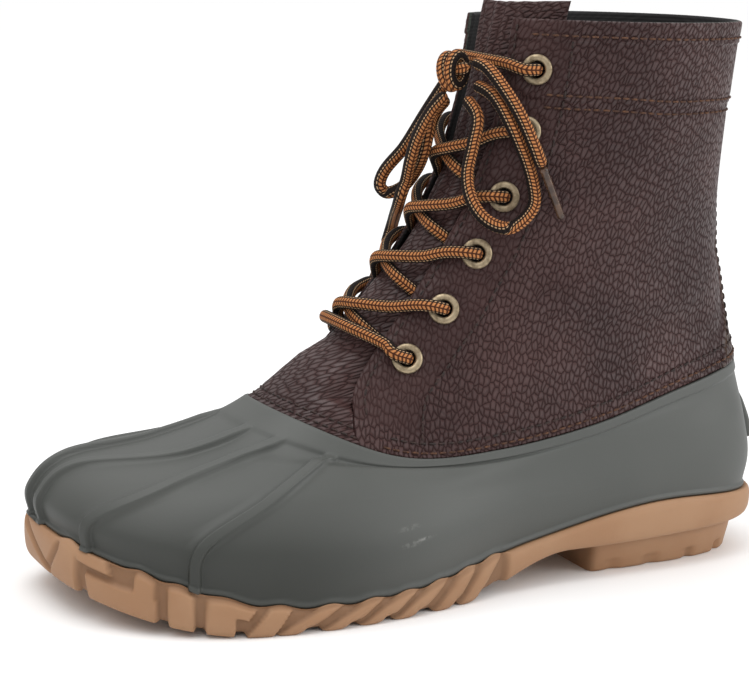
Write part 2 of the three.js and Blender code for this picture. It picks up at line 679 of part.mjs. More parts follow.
// Vamp and tongue: one piece of leather from the shell up behind the quarters
const TONGUE = {
  level: [4, 4.33, 4.42, 4.62, 4.9, 5.5, 6.2, 7, 7.6, 8.2],
  overlap: [-0.9, -0.9, -0.9, 7, 10, 11, 11, 11, 11, 9],
  edgeInset: [0, 0, 2.7, 3.4, 4.8, 4.7, 4.7, 4.7, 4.7, 4.8],
  middleInset: [0, 0, 0, 0.5, 3.6, 3.8, 4.2, 4.6, 5.2, 6],
  drift: [0, 0, 0, 0, 0, 1, 4, 9, 13, 16],
};
const TONGUE_COLUMNS = 8; // on each side of the middle
const TONGUE_CROWDING = 1.2; // power that draws the columns towards the middle
const TONGUE_BEND = { from: 0.5, span: 0.4 }; // share of the half width where the edge dips
function tongueRow(level) {
  const row = (name) => along(TONGUE.level, TONGUE[name], level);
  const half = quarterEdge(Math.min(level, COLLAR)) + row('overlap');
  const shares = [];
  for (let k = -TONGUE_COLUMNS; k <= TONGUE_COLUMNS; k += 1) {
    shares.push(Math.sign(k) * Math.abs(k / TONGUE_COLUMNS) ** TONGUE_CROWDING);
  }
  const at = (share, below) => {
    const edge = smooth((Math.abs(share) - TONGUE_BEND.from) / TONGUE_BEND.span);
    const inset = row('middleInset') + (row('edgeInset') - row('middleInset')) * edge;
    const angle = share * half + row('drift');
    return skin(angle, aboveShell(angle, level), -inset - below);
  };
  return [...shares.map((share) => at(share, 0)),
    ...shares.map((share) => at(share, LEATHER)).reverse()];
}
const tongueLevels = [TOPLINE, BEHIND_LEATHER, ...TONGUE.level.slice(1)];
const tongueRows = tongueLevels.map(tongueRow);
addPiece('tongue', geometryOf(tongueRows, wallEnds), leather);

// Lace: a tube of eight sides along a smooth curve
const LACE_SIDES = 8;
function tubeAlong(points, radius, steps) {
  const section = new THREE.Shape();
  for (let k = 0; k < LACE_SIDES; k += 1) {
    const turn = (k / LACE_SIDES) * 2 * Math.PI;
    if (k === 0) section.moveTo(radius, 0);
    else section.lineTo(radius * Math.cos(turn), radius * Math.sin(turn));
  }
  section.closePath();
  const path = new THREE.CatmullRomCurve3(points);
  return mergedOf(new THREE.ExtrudeGeometry(section, { steps, extrudePath: path, bevelEnabled: false }));
}
const LACE_SLACK = 0.4; // room for the curve of what the lace lies on
const overEyelet = EYELET_SEAT + EYELET_RISE + GAP + LACE / 2 + LACE_SLACK;
const overLeather = GAP + LACE / 2 + LACE_SLACK;
const EYELET_START = 2; // degrees in front of the eyelet's middle where a strand starts
const LACE_STEPS = 7;
const CROSSING_LIFT = [1.6, 0.6]; // the two strands of a crossing over the tongue

// Points of a strand: degrees from the quarter's edge, share of the way down, lift
const STRAND_OUT = [{ beside: 4, share: 0.12, lift: 1 }, { beside: -5, share: 0.25, lift: 0.4 }];
const STRAND_MIDDLE = { angle: 3, share: 0.48 };
const STRAND_UNDER = [{ beside: -14, share: 0.66, lift: 0 }, { beside: -6, share: 0.76, lift: -0.9 }];

// One strand: out over its own eyelet and quarter, then down across the tongue
function strand(index, sign, crossing) {
  const own = EYELETS[index];
  const other = EYELETS[index - 1];
  const level = (share) => own.level + (other.level - own.level) * share;
  const lift = cuffLift(own.level);
  const edge = quarterEdge(own.level);
  const points = [
    skin(sign * (own.angle - EYELET_START), own.level, overEyelet + lift),
    ...STRAND_OUT.map((at) => (
      skin(sign * (edge + at.beside), level(at.share), overLeather + lift + at.lift))),
    skin(sign * STRAND_MIDDLE.angle, level(STRAND_MIDDLE.share), crossing),
    ...STRAND_UNDER.map((at) => skin(-sign * (edge + at.beside), level(at.share), at.lift)),
  ];
  return solidOf(tubeAlong(points, LACE / 2, LACE_STEPS));
}
for (let index = 1; index < EYELETS.length - 1; index += 1) {
  const crossed = strand(index, 1, CROSSING_LIFT[0]).add(strand(index, -1, CROSSING_LIFT[1]));
  addPiece(`lace_cross_${index + 1}`, geometryFrom(crossed), cord);
}

// Straight bars over the lowest and the top eyelets
const BAR_OUT = { beside: 3, rise: 0.03, lift: 0.8 };
const BAR_HALF = { rise: 0.06, lift: 0.5 };
const BAR_MIDDLE_RISE = 0.07;
function bar(index, middleLift) {
  const own = EYELETS[index];
  const lift = cuffLift(own.level);
  const edge = quarterEdge(own.level);
  const points = [1, -1].map((sign) => [
    skin(sign * (own.angle - EYELET_START), own.level, overEyelet + lift),
    skin(sign * (edge + BAR_OUT.beside), own.level + BAR_OUT.rise,
      overLeather + lift + BAR_OUT.lift),
    skin(sign * (edge / 2), own.level + BAR_HALF.rise, middleLift + BAR_HALF.lift),
  ]);
  const summit = skin(0, own.level + BAR_MIDDLE_RISE, middleLift);
  const route = [...points[0], summit, ...points[1].reverse()];
  return tubeAlong(route, LACE / 2, 2 * LACE_STEPS);
}
const LOW_BAR_SLACK = 0.6;
const TOP_BAR_LIFT = 1;
addPiece('lace_bar_low', bar(0, overLeather + LOW_BAR_SLACK), cord);
addPiece('lace_bar_top', bar(EYELETS.length - 1, TOP_BAR_LIFT), cord);

// Bow: knot, two loops and two ends, each with a tip
const KNOT_SIDES = 12;
const KNOT_RINGS = 8;
const KNOT = { angle: 8.5, level: 7.37, lift: 9.6, wide: 7.2, high: 7.2, deep: 5.4 };
function knotBody() {
  const centre = skin(KNOT.angle, KNOT.level, KNOT.lift);
  const axis = outward(KNOT.angle, KNOT.level);
  const turn = new THREE.Quaternion().setFromUnitVectors(new THREE.Vector3(0, 1, 0), axis);
  const ball = new THREE.SphereGeometry(1, KNOT_SIDES, KNOT_RINGS);
  ball.applyMatrix4(new THREE.Matrix4().compose(centre, turn,
    new THREE.Vector3(KNOT.wide, KNOT.deep, KNOT.high)));
  return mergedOf(ball);
}
const ROUTES = {
  lace_loop_right: [
    [-16, 14.6, 172.4], [-19.1, 22.9, 168.9], [-22, 30.4, 159.9], [-26.8, 32.2, 149.7],
    [-29.9, 32.8, 140.9], [-30.6, 33.1, 133.6], [-26.5, 33.1, 128.2], [-20.8, 32.4, 125.7],
    [-13.6, 29.8, 128.8], [-10.2, 26.1, 135.2], [-10.1, 22.9, 143.1], [-12.2, 22.4, 153.5],
    [-14, 21.1, 161.9], [-13.2, 13.8, 167.6],
  ],
  lace_loop_left: [
    [-14.4, -0.4, 173.6], [-15.2, -5, 171.9], [-10.8, -11, 160.6], [-4.7, -15, 147.9],
    [1.4, -17, 139.8], [3.2, -17, 134.6], [0.8, -16, 132], [-3.4, -12.2, 134.5],
    [-5.3, -6, 141.1], [-5.6, -1, 148.2], [-7, -1, 154.6], [-11.2, -4.6, 161],
    [-13.2, 0, 166.6],
  ],
  lace_end_right: [
    [-15.2, 15, 180], [-17.1, 21.2, 178.2], [-20.6, 28.2, 171], [-24.2, 33, 163],
    [-28.2, 36, 153.2], [-31.4, 36.2, 146.6],
  ],
  lace_end_left: [
    [-8.6, 8, 168.8], [-5, 5, 163], [-1.6, 2, 154.1], [-0.1, 0, 145.8], [-0.6, -4, 137.8],
    [0.8, -4.8, 132.8], [-1, -10.6, 128], [-6, -22.6, 123.4], [-9.4, -32.2, 117.4],
    [-7.8, -33.4, 110],
  ],
};
const AGLETS = {
  aglet_right: [[-31.7, 36.3, 146.1], [-39.9, 36.2, 128.7]],
  aglet_left: [[-7.5, -33.7, 108.9], [-1.6, -35, 93.2]],
};
const vectors = (points) => points.map(([x, y, z]) => new THREE.Vector3(x, y, z));
const STEPS_PER_POINT = 1.4;
const cordSteps = (points) => Math.round(STEPS_PER_POINT * points.length);

// The boot stands centred on the origin, measured without the bow
const stance = new THREE.Box3().setFromObject(boot);
const middle = stance.getCenter(new THREE.Vector3());

addPiece('lace_knot', knotBody(), cord);
Object.entries(ROUTES).forEach(([name, points]) => {
  addPiece(name, tubeAlong(vectors(points), LACE / 2, cordSteps(points)), cord);
});
Object.entries(AGLETS).forEach(([name, points]) => {
  addPiece(name, tubeAlong(vectors(points), AGLET / 2, 1), horn);
});
boot.position.set(-middle.x, -middle.y, -stance.min.z);

export default boot;
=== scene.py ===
"""Lace-up duck boot, left foot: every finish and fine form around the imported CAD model.

Lengths are millimetres on the boot's own last and turn into metres where a mesh is made.
Places on the last are an angle around the foot (0 toe, 90 outer side, 180 heel) and a level
(0 at the sole, 4 at the rubber's top edge, 8 at the collar).
"""

import logging
import math
from dataclasses import dataclass, field
from enum import Enum
from typing import Any, Sequence

import bpy
import numpy as np
from mathutils import Matrix, Vector


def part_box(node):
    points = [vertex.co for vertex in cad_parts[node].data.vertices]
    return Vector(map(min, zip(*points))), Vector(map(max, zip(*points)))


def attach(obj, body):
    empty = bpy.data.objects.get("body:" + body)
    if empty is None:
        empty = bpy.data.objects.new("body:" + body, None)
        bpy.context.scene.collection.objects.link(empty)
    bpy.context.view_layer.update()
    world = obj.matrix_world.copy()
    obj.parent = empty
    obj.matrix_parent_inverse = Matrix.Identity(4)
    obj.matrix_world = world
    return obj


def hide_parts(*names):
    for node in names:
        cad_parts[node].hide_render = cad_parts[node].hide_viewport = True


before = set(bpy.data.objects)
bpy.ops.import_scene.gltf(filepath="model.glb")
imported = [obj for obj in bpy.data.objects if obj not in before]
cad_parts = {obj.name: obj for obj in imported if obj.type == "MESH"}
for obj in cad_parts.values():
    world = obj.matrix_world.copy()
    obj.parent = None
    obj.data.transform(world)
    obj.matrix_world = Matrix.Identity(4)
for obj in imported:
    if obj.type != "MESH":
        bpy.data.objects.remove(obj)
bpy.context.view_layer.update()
log = logging.getLogger("boot")
Array = np.ndarray

LENGTH = 267.0  # heel to toe along the line where shell meets sole
HALF_BALL = 61.0
SHELL_TOP = 72.0
HEIGHT = 195.0
SHAFT_HALF = 38.0
TOE_SWING = 16.0
RUBBER_WALL = 3.4
LEATHER = 1.9
TOPLINE = 4.0
COLLAR = 8.0
FLOOR_LEVEL = 0.3  # level whose outline the shell's floor and the footbed follow
CUFF_LEVEL = 7.2
BINDING_LEVEL = 7.795
CUFF_RAISE = 0.5
LACE = 4.4
AGLET = 4.0
IMAGE_WIDTH = 749


@dataclass(frozen=True)
class Ring:
    """One level of the last: its ends, heights, half widths and squareness, as shares."""

    back: float
    front: float
    rise: tuple[float, ...]
    outer: tuple[float, ...]
    inner: tuple[float, ...]
    fullness: float


RINGS = (
    Ring(-0.517, 0.474, (0.33, 0.36, 0.24, 0.12, 0.14, 0.36), (0.69, 0.61, 0.62, 0.87, 1.06, 1.2),
         (0.69, 0.61, 0.58, 0.73, 0.78, 0.55), 2.9),
    Ring(-0.524, 0.477, (0.5, 0.53, 0.44, 0.36, 0.38, 0.49), (0.7, 0.62, 0.67, 0.92, 1.06, 1.15),
         (0.7, 0.62, 0.62, 0.78, 0.82, 0.57), 2.9),
    Ring(-0.517, 0.437, (0.69, 0.68, 0.58, 0.56, 0.575, 0.63), (0.69, 0.62, 0.66, 0.8, 0.93, 0.97),
         (0.69, 0.62, 0.62, 0.7, 0.66, 0.5), 2.7),
    Ring(-0.507, 0.328, (0.86, 0.79, 0.68, 0.64, 0.685, 0.705), (0.64, 0.61, 0.64, 0.7, 0.77, 0.79),
         (0.64, 0.61, 0.62, 0.67, 0.58, 0.45), 2.5),
    Ring(-0.494, 0.206, (1, 0.9, 0.78, 0.7, 0.695, 0.88), (0.59, 0.565, 0.61, 0.635, 0.7, 0.79),
         (0.59, 0.565, 0.6, 0.615, 0.59, 0.52), 2.6),
    Ring(-0.472, 0.097, (0.18, 0.145, 0.1, 0.065, 0.065, 0.145), (0.89, 0.88, 0.92, 0.95, 0.95, 0.89),
         (0.89, 0.88, 0.91, 0.92, 0.84, 0.74), 2.4),
    Ring(-0.453, -0.015, (0.44, 0.43, 0.42, 0.42, 0.44, 0.455), (0.89, 0.89, 0.92, 0.92, 0.87, 0.79),
         (0.89, 0.89, 0.92, 0.89, 0.79, 0.68), 2.3),
    Ring(-0.453, -0.064, (0.715, 0.715, 0.715, 0.725, 0.73, 0.74), (0.95, 0.95, 0.97, 0.95, 0.87, 0.79),
         (0.95, 0.95, 0.97, 0.92, 0.79, 0.68), 2.3),
    Ring(-0.464, -0.086, (1, 1, 1, 1, 1, 1), (0.97, 0.97, 1, 0.97, 0.87, 0.76),
         (0.97, 0.97, 1, 0.95, 0.82, 0.71), 2.3),
)
SHAFT_STARTS = 5
TURN_STEP = 0.6  # degrees to each side over which a slope is taken
LEVEL_STEP = 0.02
SWAY_PLACE = LENGTH * np.array([-0.52, -0.34, -0.11, 0.075, 0.3, 0.49])
SWAY_LEAN = (0, 0, 0, 0.1, 0.42, 1)
STATIONS = (0, 0.2, 0.4, 0.6, 0.8, 1)
RIB_TRACKS = {
    1: ((1.6, 1.6, 4, 14.5, 9.5), (17, 19, 30, 29.5, 21.5), (41, 43, 51.5, 49, 36)),
    -1: ((2.6, 2.4, 4.5, 12.5, 9.5), (18, 19.5, 28, 28.5, 21.5), (42, 43.5, 52, 49, 36)),
}
QUARTER_EDGE = ((4, 4.15, 4.35, 4.55, 4.8, 8.4), (44, 38.5, 33.5, 29, 27.5, 27.5))
RIM = (0, 0.1, 0.3, 0.6, 1.0, 1.5)  # distances of a leather sheet's outermost rows from its edge
EYELETS = ((4.93, 39), (5.35, 41.5), (5.75, 43), (6.22, 44), (6.86, 44.5), (7.48, 43.5))
KNOT = (8.5, 7.37, 9.6)


def through(places: Sequence[float] | Array, values: Sequence[float] | Array, at: Array) -> Array:
    """Smooth curve through rows: cubic pieces whose end slopes are central differences.

    Args:
        places: where the rows stand, rising.
        values: one number a row, or one array of the shape of `at` a row.
        at: where the curve is wanted.

    Returns:
        The values there, in the shape of `at`.
    """
    places, values, at = np.asarray(places, float), np.asarray(values, float), np.asarray(at, float)
    last = len(places) - 1
    cell = np.clip(np.searchsorted(places[1:-1], at, side="left"), 0, last - 1)

    def pick(row: Array) -> Array:
        """Value of the row with that index, at each place."""
        return np.take_along_axis(values, row[None], 0)[0] if values.ndim > 1 else values[row]

    before, after, beyond = np.maximum(cell - 1, 0), cell + 1, np.minimum(cell + 2, last)
    start, end, span = pick(cell), pick(after), places[after] - places[cell]
    slope_in = (end - pick(before)) / (places[after] - places[before])
    slope_out = (pick(beyond) - start) / (places[beyond] - places[cell])
    u = (at - places[cell]) / span
    return ((2 * u**3 - 3 * u**2 + 1) * start + (u**3 - 2 * u**2 + u) * span * slope_in
            + (3 * u**2 - 2 * u**3) * end + (u**3 - u**2) * span * slope_out)


def smooth(share: Array | float) -> Array:
    """Soft step from 0 to 1: three times the square less twice the cube."""
    held = np.clip(share, 0, 1)
    return held * held * (3 - 2 * held)


def unit(vectors: Array) -> Array:
    """Vectors of length one in the same directions."""
    return vectors / np.maximum(np.linalg.norm(vectors, axis=-1, keepdims=True), 1e-9)


def run_of(path: Array) -> Array:
    """Length along a path at each of its points."""
    return np.concatenate([[0], np.cumsum(np.linalg.norm(np.diff(path, axis=0), axis=1))])


def at_places(places: Array, run: Array, rows: Array) -> Array:
    """Rows of numbers read off at places along a path.

    Args:
        places: lengths along the path.
        run: length at each of its points.
        rows: one row of numbers a point.

    Returns:
        One row a place.
    """
    return np.stack([np.interp(places, run, column) for column in rows.T], -1)


class BootForm:
    """Surface of the last, from which the shell, shaft, tongue and laces are all drawn."""

    def centre_line(self, x: Array) -> Array:
        """Sideways place of the middle of the foot at a place along it."""
        return -TOE_SWING * through(SWAY_PLACE, SWAY_LEAN, np.clip(x, SWAY_PLACE[0], SWAY_PLACE[-1]))

    def ring(self, index: int, angle: Array) -> Array:
        """Points of one ring: a cosine along the foot, a superellipse across it.

        Args:
            index: which ring.
            angle: degrees around the foot.

        Returns:
            Points with x, y, z first.
        """
        ring, foot = RINGS[index], index < SHAFT_STARTS
        c, s = np.cos(np.radians(angle)), np.sin(np.radians(angle))
        share = (1 + c) / 2
        x = LENGTH * (ring.back + (ring.front - ring.back) * share)
        half = np.where(s >= 0, through(STATIONS, ring.outer, share), through(STATIONS, ring.inner, share))
        half = half * (HALF_BALL if foot else SHAFT_HALF)
        across = np.maximum(0, 1 - np.abs(c) ** ring.fullness) ** (1 / ring.fullness)
        rise = through(STATIONS, ring.rise, share)
        z = SHELL_TOP * rise if foot else SHELL_TOP + (HEIGHT - SHELL_TOP) * rise
        return np.stack([x, self.centre_line(x) + np.sign(s) * half * across, z])

    def point(self, angle: Array, level: Array) -> Array:
        """Points of the last.

        Args:
            angle: degrees around the foot.
            level: from the sole to the collar.

        Returns:
            Points with x y z last.
        """
        angle, level = np.broadcast_arrays(np.asarray(angle, float), np.asarray(level, float))
        rings = np.stack([self.ring(index, angle) for index in range(len(RINGS))])
        return np.stack([through(np.arange(len(RINGS)), rings[:, axis], level) for axis in range(3)], -1)

    def around(self, angle: Array, level: Array) -> Array:
        """Slope in mm a degree, from a small difference."""
        ahead, behind = self.point(angle + TURN_STEP, level), self.point(angle - TURN_STEP, level)
        return (ahead - behind) / (2 * TURN_STEP)

    def up(self, angle: Array, level: Array) -> Array:
        """Slope in mm a level, from a small difference."""
        above, below = self.point(angle, level + LEVEL_STEP), self.point(angle, level - LEVEL_STEP)
        return (above - below) / (2 * LEVEL_STEP)

    def outward(self, angle: Array, level: Array) -> Array:
        """Unit direction out of the last: slope around crossed with slope up."""
        return unit(np.cross(self.around(angle, level), self.up(angle, level)))

    def skin(self, angle: Array, level: Array, lift: Array | float) -> Array:
        """Points a distance outside the last, or inside it where the distance is negative."""
        lift = np.asarray(lift, float)
        return self.point(angle, level) + self.outward(angle, level) * lift[..., None]

    def quarter_edge(self, level: Array) -> Array:
        """Degrees from the middle to the quarter's front edge."""
        return through(*QUARTER_EDGE, level)

    def level_above(self, angle: Array, level: Array, length: Array | float) -> Array:
        """Level that lies a length above another one."""
        return level + length / np.linalg.norm(self.up(angle, level), axis=-1)

    def beside_feather(self, angle: Array, reach: Array | float) -> Array:
        """Points level with the sole line and beside it.

        Args:
            angle: degrees around the foot.
            reach: how far outside the line, in mm.

        Returns:
            Points with x y z last.
        """
        slope = self.around(angle, 0)
        out = unit(np.stack([slope[..., 1], -slope[..., 0], 0 * slope[..., 0]], -1))
        return self.point(angle, 0) + out * np.asarray(reach, float)[..., None]


FORM = BootForm()
knot_low, knot_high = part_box("lace_knot")
FRAME_SHIFT = np.array((knot_low + knot_high) / 2) * 1000 - FORM.skin(*KNOT)


def metres(points: Array) -> Array:
    """Millimetres on the last made metres in the CAD frame."""
    return (points + FRAME_SHIFT) / 1000


@dataclass
class Surface:
    """Faces with their points, face texture corners, face finishes and point masks."""

    points: Array
    quads: Array
    triangles: Array = field(default_factory=lambda: np.zeros((0, 3), int))
    corners: Array | None = None
    finish: Array | None = None
    masks: dict[str, Array] = field(default_factory=dict)

    def faces(self) -> int:
        """How many faces there are."""
        return len(self.quads) + len(self.triangles)


def quads_of(index: Array, close: bool = False) -> Array:
    """Corner numbers of a grid's quads, rows upward and columns to the right.

    Args:
        index: point numbers in rows and columns.
        close: whether the last column meets the first.

    Returns:
        Four corners for each quad, in rows and columns.
    """
    right = np.roll(index, -1, 1) if close else index[:, 1:]
    left = index if close else index[:, :-1]
    return np.stack([left[:-1], right[:-1], right[1:], left[1:]], -1)


def sheet_of(points: Array, close: bool = False, masks: dict[str, Array] | None = None) -> Surface:
    """One grid of points as a surface.

    Args:
        points: rows, columns and x y z.
        close: whether the last column meets the first.
        masks: numbers a point, in rows and columns.

    Returns:
        The surface.
    """
    index = np.arange(points.shape[0] * points.shape[1]).reshape(points.shape[:2])
    flat = {name: np.broadcast_to(mask, index.shape).ravel() for name, mask in (masks or {}).items()}
    return Surface(points.reshape(-1, 3), quads_of(index, close).reshape(-1, 4), masks=flat)


def wall_of(outer: Array, inner: Array, keep: Array | None = None,
            masks: dict[str, Array] | None = None) -> Surface:
    """Closed wall between an outer and an inner grid; every open edge gets a strip of rim.

    A directed edge of the kept faces whose opposite edge isn't there lies on the rim.

    Args:
        outer: rows, columns and x y z, facing outward.
        inner: the same grid on the inner face.
        keep: which quads stay.
        masks: numbers a point of the outer grid.

    Returns:
        The wall, with finish 0 outside, 1 inside and 2 on the rim.
    """
    rows, columns = outer.shape[:2]
    count = rows * columns
    quads = quads_of(np.arange(count).reshape(rows, columns))
    quads = quads.reshape(-1, 4) if keep is None else quads[keep]
    start, end = quads.ravel(), np.roll(quads, -1, 1).ravel()
    rim = ~np.isin(start * count + end, end * count + start)
    start, end = start[rim], end[rim]
    sides = np.stack([end, start, start + count, end + count], -1)
    faces = np.concatenate([quads, quads[:, ::-1] + count, sides])
    finish = np.repeat([0, 1, 2], [len(quads), len(quads), len(sides)])
    used, faces = np.unique(faces, return_inverse=True)
    points = np.concatenate([outer.reshape(-1, 3), inner.reshape(-1, 3)])[used]
    flat = {}
    for name, mask in (masks or {}).items():
        mask = np.broadcast_to(mask, (rows, columns) + np.shape(mask)[2:])
        flat[name] = np.concatenate([mask.reshape(count, -1)] * 2)[used].squeeze()
    return Surface(points, faces.reshape(-1, 4), finish=finish, masks=flat)


def joined(parts: Sequence[Surface]) -> Surface:
    """Several surfaces as one.

    Args:
        parts: the surfaces.

    Returns:
        One surface, with masks of zero where a part has none.
    """
    offsets = np.cumsum([0] + [len(part.points) for part in parts])[:-1]
    names = sorted({name for part in parts for name in part.masks})
    corners = None
    if all(part.corners is not None for part in parts):
        quads = [part.corners[:4 * len(part.quads)] for part in parts]
        rest = [part.corners[4 * len(part.quads):] for part in parts]
        corners = np.concatenate(quads + rest)
    marks = [np.zeros(part.faces(), int) if part.finish is None else part.finish for part in parts]
    of_quads = [mark[:len(part.quads)] for mark, part in zip(marks, parts)]
    of_rest = [mark[len(part.quads):] for mark, part in zip(marks, parts)]
    return Surface(
        np.concatenate([part.points for part in parts]),
        np.concatenate([part.quads + offset for part, offset in zip(parts, offsets)]),
        np.concatenate([part.triangles + offset for part, offset in zip(parts, offsets)]),
        corners, np.concatenate(of_quads + of_rest),
        {name: np.concatenate([part.masks.get(name, np.zeros(len(part.points))) for part in parts])
         for name in names})


def grain_of(points: Array, middle: int) -> Array:
    """Where the leather's grain lies: metres along each row from one column, and height.

    Args:
        points: rows, columns and x y z in mm.
        middle: the column that the lengths start from.

    Returns:
        Rows and columns of along, up and nought.
    """
    steps = np.linalg.norm(np.diff(points, axis=1), axis=-1)
    run = np.concatenate([np.zeros((len(points), 1)), np.cumsum(steps, 1)], 1)
    return np.stack([run - run[:, middle:middle + 1], points[..., 2], 0 * run], -1) / 1000


def across_cap(first: int, count: int, upward: bool) -> Array:
    """Quads that close a ring by strips from one side of the foot to the other.

    Args:
        first: number of the ring's first point, at the toe.
        count: how many points the ring has.
        upward: whether the cap faces up.

    Returns:
        Four corners for each strip.
    """
    near = np.arange(0, count // 2)
    strips = first + np.stack([near, near + 1, (count - near - 1) % count, (count - near) % count], -1)
    return strips if upward else strips[:, ::-1]


def capped(points: Array, masks: dict[str, Array] | None = None) -> Surface:
    """Stack of rings around the foot, its first and last ring closed by strips across.

    Args:
        points: rings, points and x y z, from the underside upward.
        masks: numbers a point, in rings.

    Returns:
        The closed surface.
    """
    surface = sheet_of(points, True, masks)
    rings, count = points.shape[:2]
    caps = [across_cap(0, count, False), across_cap((rings - 1) * count, count, True)]
    surface.quads = np.concatenate([surface.quads, *caps])
    return surface


def rounding_of(rim: Array, shape: Sequence[int]) -> Array:
    """How far a leather face draws in near its four edges: a quarter circle, half a wall deep.

    Args:
        rim: distances of the outermost rows and columns from the edge, in mm.
        shape: how many rows and columns there are.

    Returns:
        Distances in mm, in rows and columns.
    """
    rows, columns = (np.concatenate([rim, np.full(count - 2 * len(rim), LEATHER), rim[::-1]])
                     for count in shape)
    inward = np.minimum(rows[:, None], columns[None])
    radius = LEATHER / 2
    return radius * (1 - np.sqrt(np.clip(1 - (1 - np.minimum(inward / radius, 1)) ** 2, 0, 1)))


def tube_of(path: Array, radius: Array | float, reference: Sequence[float], sides: int = 18,
            flat: Array | float = 1.0, close: bool = False) -> Surface:
    """Round section carried along a path, square to it and level with a reference direction.

    A point is the path's, plus the radius times cosine of its turn along the side direction
    and sine along the other; the side is the reference crossed with the path's direction.

    Args:
        path: points along the middle.
        radius: of the section, one number or one a point.
        reference: a direction that the path never follows.
        sides: points around the section.
        flat: how much the section is squeezed along its side direction.
        close: whether the path meets its own start.

    Returns:
        The tube with rounded ends, and corners that count turns and millimetres.
    """
    if close:
        ahead = np.roll(path, -1, 0) - np.roll(path, 1, 0)
    else:
        ahead = np.gradient(path, axis=0)
    ahead = unit(ahead)
    side = unit(np.cross(np.asarray(reference, float), ahead))
    over = np.cross(ahead, side)
    turn = np.linspace(0, 2 * np.pi, sides, endpoint=False)[None, :, None]
    run = run_of(path)
    radius = np.broadcast_to(np.asarray(radius, float), len(path)).copy()
    if not close:
        near = np.clip(np.minimum(run, run[-1] - run) / np.maximum(radius, 1e-6), 0, 1)
        radius *= np.sqrt(np.maximum(1 - (1 - near) ** 2, 0.02))
    wide = radius[:, None, None]
    squeeze = np.broadcast_to(np.asarray(flat, float), len(path))[:, None, None]
    rings = path[:, None] + wide * (np.cos(turn) * squeeze * side[:, None] + np.sin(turn) * over[:, None])
    count = rings.shape[0] * sides
    index = np.arange(count).reshape(-1, sides)
    if close:
        index = np.concatenate([index, index[:1]])
        run = np.append(run, run[-1] + np.linalg.norm(path[0] - path[-1]))
    quads = quads_of(index, True).reshape(-1, 4)
    u = np.arange(sides + 1) / sides
    grid = np.stack(np.broadcast_arrays(u[None, :], run[:, None]), -1)
    corners = np.stack([grid[:-1, :-1], grid[:-1, 1:], grid[1:, 1:], grid[1:, :-1]], 2).reshape(-1, 2)
    points = rings.reshape(-1, 3)
    if close:
        return Surface(points, quads, corners=corners)
    points = np.concatenate([points, path[:1], path[-1:]])
    low, high = index[0], index[-1]
    caps = np.concatenate([
        np.stack([np.full(sides, count), np.roll(low, -1), low], -1),
        np.stack([np.full(sides, count + 1), high, np.roll(high, -1)], -1)])
    ends = np.repeat([[0.5, 0.0], [0.5, run[-1]]], 3 * sides, axis=0)
    return Surface(points, quads, caps, np.concatenate([corners, ends]))


def line_of(points: Sequence[Sequence[float]] | Array, step: float = 0.5) -> Array:
    """Smooth curve through a few points, cut into steps of equal length.

    Args:
        points: the chosen points.
        step: length of a step in mm.

    Returns:
        The points of the curve.
    """
    points = np.asarray(points, float)
    chord = run_of(points)
    fine = np.linspace(0, chord[-1], 40 * len(points))
    curve = np.stack([through(chord, points[:, axis], fine) for axis in range(points.shape[1])], -1)
    run = run_of(curve)
    wanted = np.linspace(0, run[-1], max(4, int(run[-1] / step)))
    return at_places(wanted, run, curve)


def piece_of(name: str, surface: Surface, materials: Sequence[bpy.types.Material],
             replaces: Sequence[str] = ()) -> bpy.types.Object:
    """Mesh object at the origin from a surface, riding on the boot.

    Args:
        name: of the piece.
        surface: points in mm, faces, corners, finishes and masks.
        materials: by finish number.
        replaces: CAD nodes that the piece stands for.

    Returns:
        The object.
    """
    mesh = bpy.data.meshes.new(name)
    mesh.vertices.add(len(surface.points))
    mesh.vertices.foreach_set("co", metres(surface.points).astype(np.float32).ravel())
    loops = np.concatenate([surface.quads.ravel(), surface.triangles.ravel()])
    sizes = np.repeat([4, 3], [len(surface.quads), len(surface.triangles)])
    mesh.loops.add(len(loops))
    mesh.loops.foreach_set("vertex_index", loops.astype(np.int32))
    mesh.polygons.add(len(sizes))
    mesh.polygons.foreach_set("loop_start", np.concatenate([[0], np.cumsum(sizes)[:-1]]).astype(np.int32))
    mesh.polygons.foreach_set("loop_total", sizes.astype(np.int32))
    mesh.polygons.foreach_set("use_smooth", np.ones(len(sizes), bool))
    if surface.finish is not None:
        mesh.polygons.foreach_set("material_index", surface.finish.astype(np.int32))
    for mask, values in surface.masks.items():
        kind, key = ("FLOAT", "value") if values.ndim == 1 else ("FLOAT_VECTOR", "vector")
        layer = mesh.attributes.new(mask, kind, "POINT")
        layer.data.foreach_set(key, values.astype(np.float32).ravel())
    if surface.corners is not None:
        layer = mesh.uv_layers.new(name="run")
        layer.uv.foreach_set("vector", surface.corners.astype(np.float32).ravel())
    mesh.update()
    mesh.validate()
    for material in materials:
        mesh.materials.append(material)
    piece = bpy.data.objects.new(name, mesh)
    bpy.context.scene.collection.objects.link(piece)
    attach(piece, "root")
    if replaces:
        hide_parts(*replaces)
    log.info("%s: %d faces", name, surface.faces())
    return piece


def srgb(red: int, green: int, blue: int) -> tuple[float, float, float, float]:
    """Screen colour of 0 to 255 as the linear colour that shaders take."""
    def linear(value: float) -> float:
        """One channel without the screen's curve."""
        return value / 12.92 if value <= 0.04045 else ((value + 0.055) / 1.055) ** 2.4
    return (*(linear(value / 255) for value in (red, green, blue)), 1.0)


